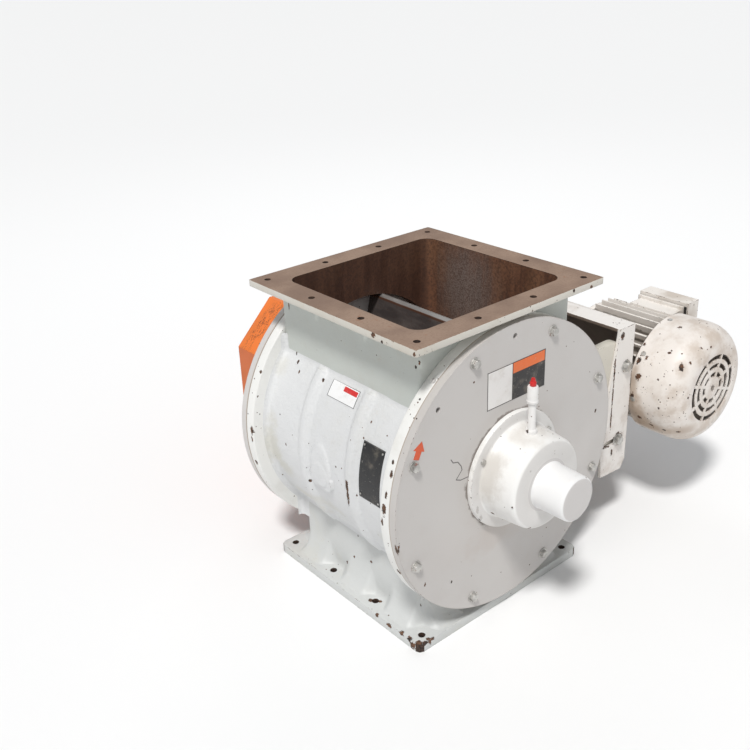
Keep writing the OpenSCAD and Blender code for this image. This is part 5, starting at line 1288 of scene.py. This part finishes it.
hood_marks = (
    (433, -278, 371, 5, 12), (449, -286, 379, 3, 7), (423, -206, 375, 5, 5), (405, -202, 338, 7, 8),
    (408, -247, 345, 3.5, 4), (447, -267, 395, 3, 3), (482, -286, 402, 3.5, 4), (506, -293, 399, 3.5, 4),
    (417, -284, 295, 2.8, 2.8), (438, -295, 313, 2.8, 5), (437, -293, 271, 2.8, 2.6), (495, -229, 425, 6, 4),
    (416, -192, 364, 5, 10), (416, -206, 244, 6, 5), (423, -232, 233, 6, 4), (426, -259, 231, 5, 4),
    (442, -281, 229, 5, 3), (414, -255, 357, 2.5, 3), (442, -248, 397, 2.5, 3), (497, -274, 417, 3, 3),
    (401, -245, 312, 2.2, 2.2), (408, -268, 329, 2, 5), (438, -188, 393, 4, 4), (401, -194, 294, 5, 9),
    (560, -288, 224, 6, 4), (604, -196, 206, 6, 6), (640, -200, 345, 5, 7), (600, -250, 372, 4, 3),
)
# Its stain blobs darken the hood's left side and its lower part.
hood_enamel = worn_enamel("hood_enamel", (0.82, 0.765, 0.715), (0.42, 0.31, 0.22), chips=1.1, edge=2.2,
                          dirt=0.5,
                          cast_bump=0.3, gloss=0.34, marks=hood_marks, cluster_scale=9.0,
                          stains_and_shade=((412, -200, 250, 34, 46, 0.8), (430, -225, 226, 60, 20, 0.85),
                                  (403, -190, 330, 16, 70, 0.7), (500, -210, 184, 90, 20, 0.7),
                                  (436, -276, 365, 14, 26, 0.55), (452, -276, 232, 40, 16, 0.6)))
piece("fan_hood", [hood()], hood_enamel, "fan_cover", wall=2.6 * mm)


# ---------- Plates and stickers ----------
# A black etched plate is riveted to the barrel; a sticker sits above it and a larger one on the end plate.
# Both stickers and the plate are blank fields of colour. An orange arrow shows the turning direction.
def fields(name, base, areas, gloss=0.35):
    """Printed film: base colour with rectangular fields, each (low corner, high corner, colour) in mm,
    scuffed by fine scratches and yellowed in patches. None in a corner leaves that axis out."""
    material, tree, film = shader(name)
    place = object_place(tree)
    split = add(tree, "SeparateXYZ", {"Vector": place})
    colour = (*base, 1)
    for lows, highs, tint in areas:
        inside = None
        for axis_name, low_side, high_side in zip("XYZ", lows, highs):
            if low_side is None:
                continue
            value = split.outputs[axis_name]
            above = ramp(tree, value, (low_side - 0.25) * mm, (low_side + 0.25) * mm)
            below = ramp(tree, value, (high_side + 0.25) * mm, (high_side - 0.25) * mm)
            both = times(tree, above, below)
            inside = both if inside is None else times(tree, inside, both)
        colour = blend_colour(tree, inside, colour, (*tint, 1))
    scuff = noise(tree, place, 180.0, 5.0, 0.7)
    cloud = noise(tree, place, 28.0, 4.0, 0.6)
    colour = blend_colour(tree, ramp(tree, scuff, 0.60, 0.72, 0, 0.45), colour, (0.46, 0.43, 0.40, 1))
    colour = blend_colour(tree, ramp(tree, cloud, 0.50, 0.72, 0, 0.25), colour, (0.42, 0.36, 0.28, 1))
    wire(tree, film, colour, ramp(tree, scuff, 0.35, 0.65, gloss, gloss + 0.2), scuff, 0.15, 0.0002)
    return material


black_ink = (0.02, 0.018, 0.018)
orange_ink = (0.80, 0.16, 0.03)
white_film = (0.80, 0.78, 0.76)
dress(fields("end_sticker_film", white_film,
             [((-66, None, 439), (80, None, 440.5), black_ink),
              ((-66, None, 508.5), (80, None, 510), black_ink),
              ((-66, None, 439), (-64.5, None, 510), black_ink),
              ((-5, None, 439), (80, None, 510), black_ink),
              ((-3, None, 489), (78, None, 508.5), orange_ink)]), "end_plate_label")
body_sticker_film = fields("body_sticker_film", (0.86, 0.86, 0.86),
                           [((None, -43.5, 427), (None, -42.3, 456), black_ink),
                            ((None, 30.8, 427), (None, 32, 456), black_ink),
                            ((None, -43.5, 427), (None, 32, 429.1), black_ink),
                            ((None, -43.5, 454.2), (None, 32, 456), black_ink),
                            ((None, -40, 445), (None, -3, 452.5), (0.62, 0.03, 0.03))])


def sticker_on_side(y0, y1, z0, z1, lift):
    """Patch of the barrel's own outline between two heights, lifted off it by the film's thickness."""
    outline = side_outline(neck_x, foot_x, neck_fillet, foot_fillet)
    outline = outline[(outline[:, 1] > z0 - axis_z) & (outline[:, 1] < z1 - axis_z)]
    y = np.linspace(y0, y1, 40)[None, :]
    x, z, nx, nz, share = [outline[:, k][:, None] for k in range(5)]
    raised = swell(y, z) * share + lift
    points = np.stack(np.broadcast_arrays(-(x + nx * raised), y, axis_z + z + nz * raised), -1)
    return surface(points)


piece("body_sticker", [sticker_on_side(-43.5 * mm, 32 * mm, 428 * mm, 455.6 * mm, 0.45 * mm)],
      body_sticker_film, "body_label")
dress(fields("etched_plate", (0.009, 0.009, 0.010),
             [((None, -145, 392), (None, -94, 392.6), (0.10, 0.10, 0.10)),
              ((None, -145, 290), (None, -94, 290.6), (0.10, 0.10, 0.10))], 0.3), "data_plate")
dress(clean_steel, "data_plate_rivets")
dress(worn_enamel("arrow_ink", (0.72, 0.10, 0.03), (0.35, 0.12, 0.06), chips=0.4, edge=0.6, dirt=0.3,
                  cast_bump=0.1, cluster_scale=20.0), "rotation_arrow")
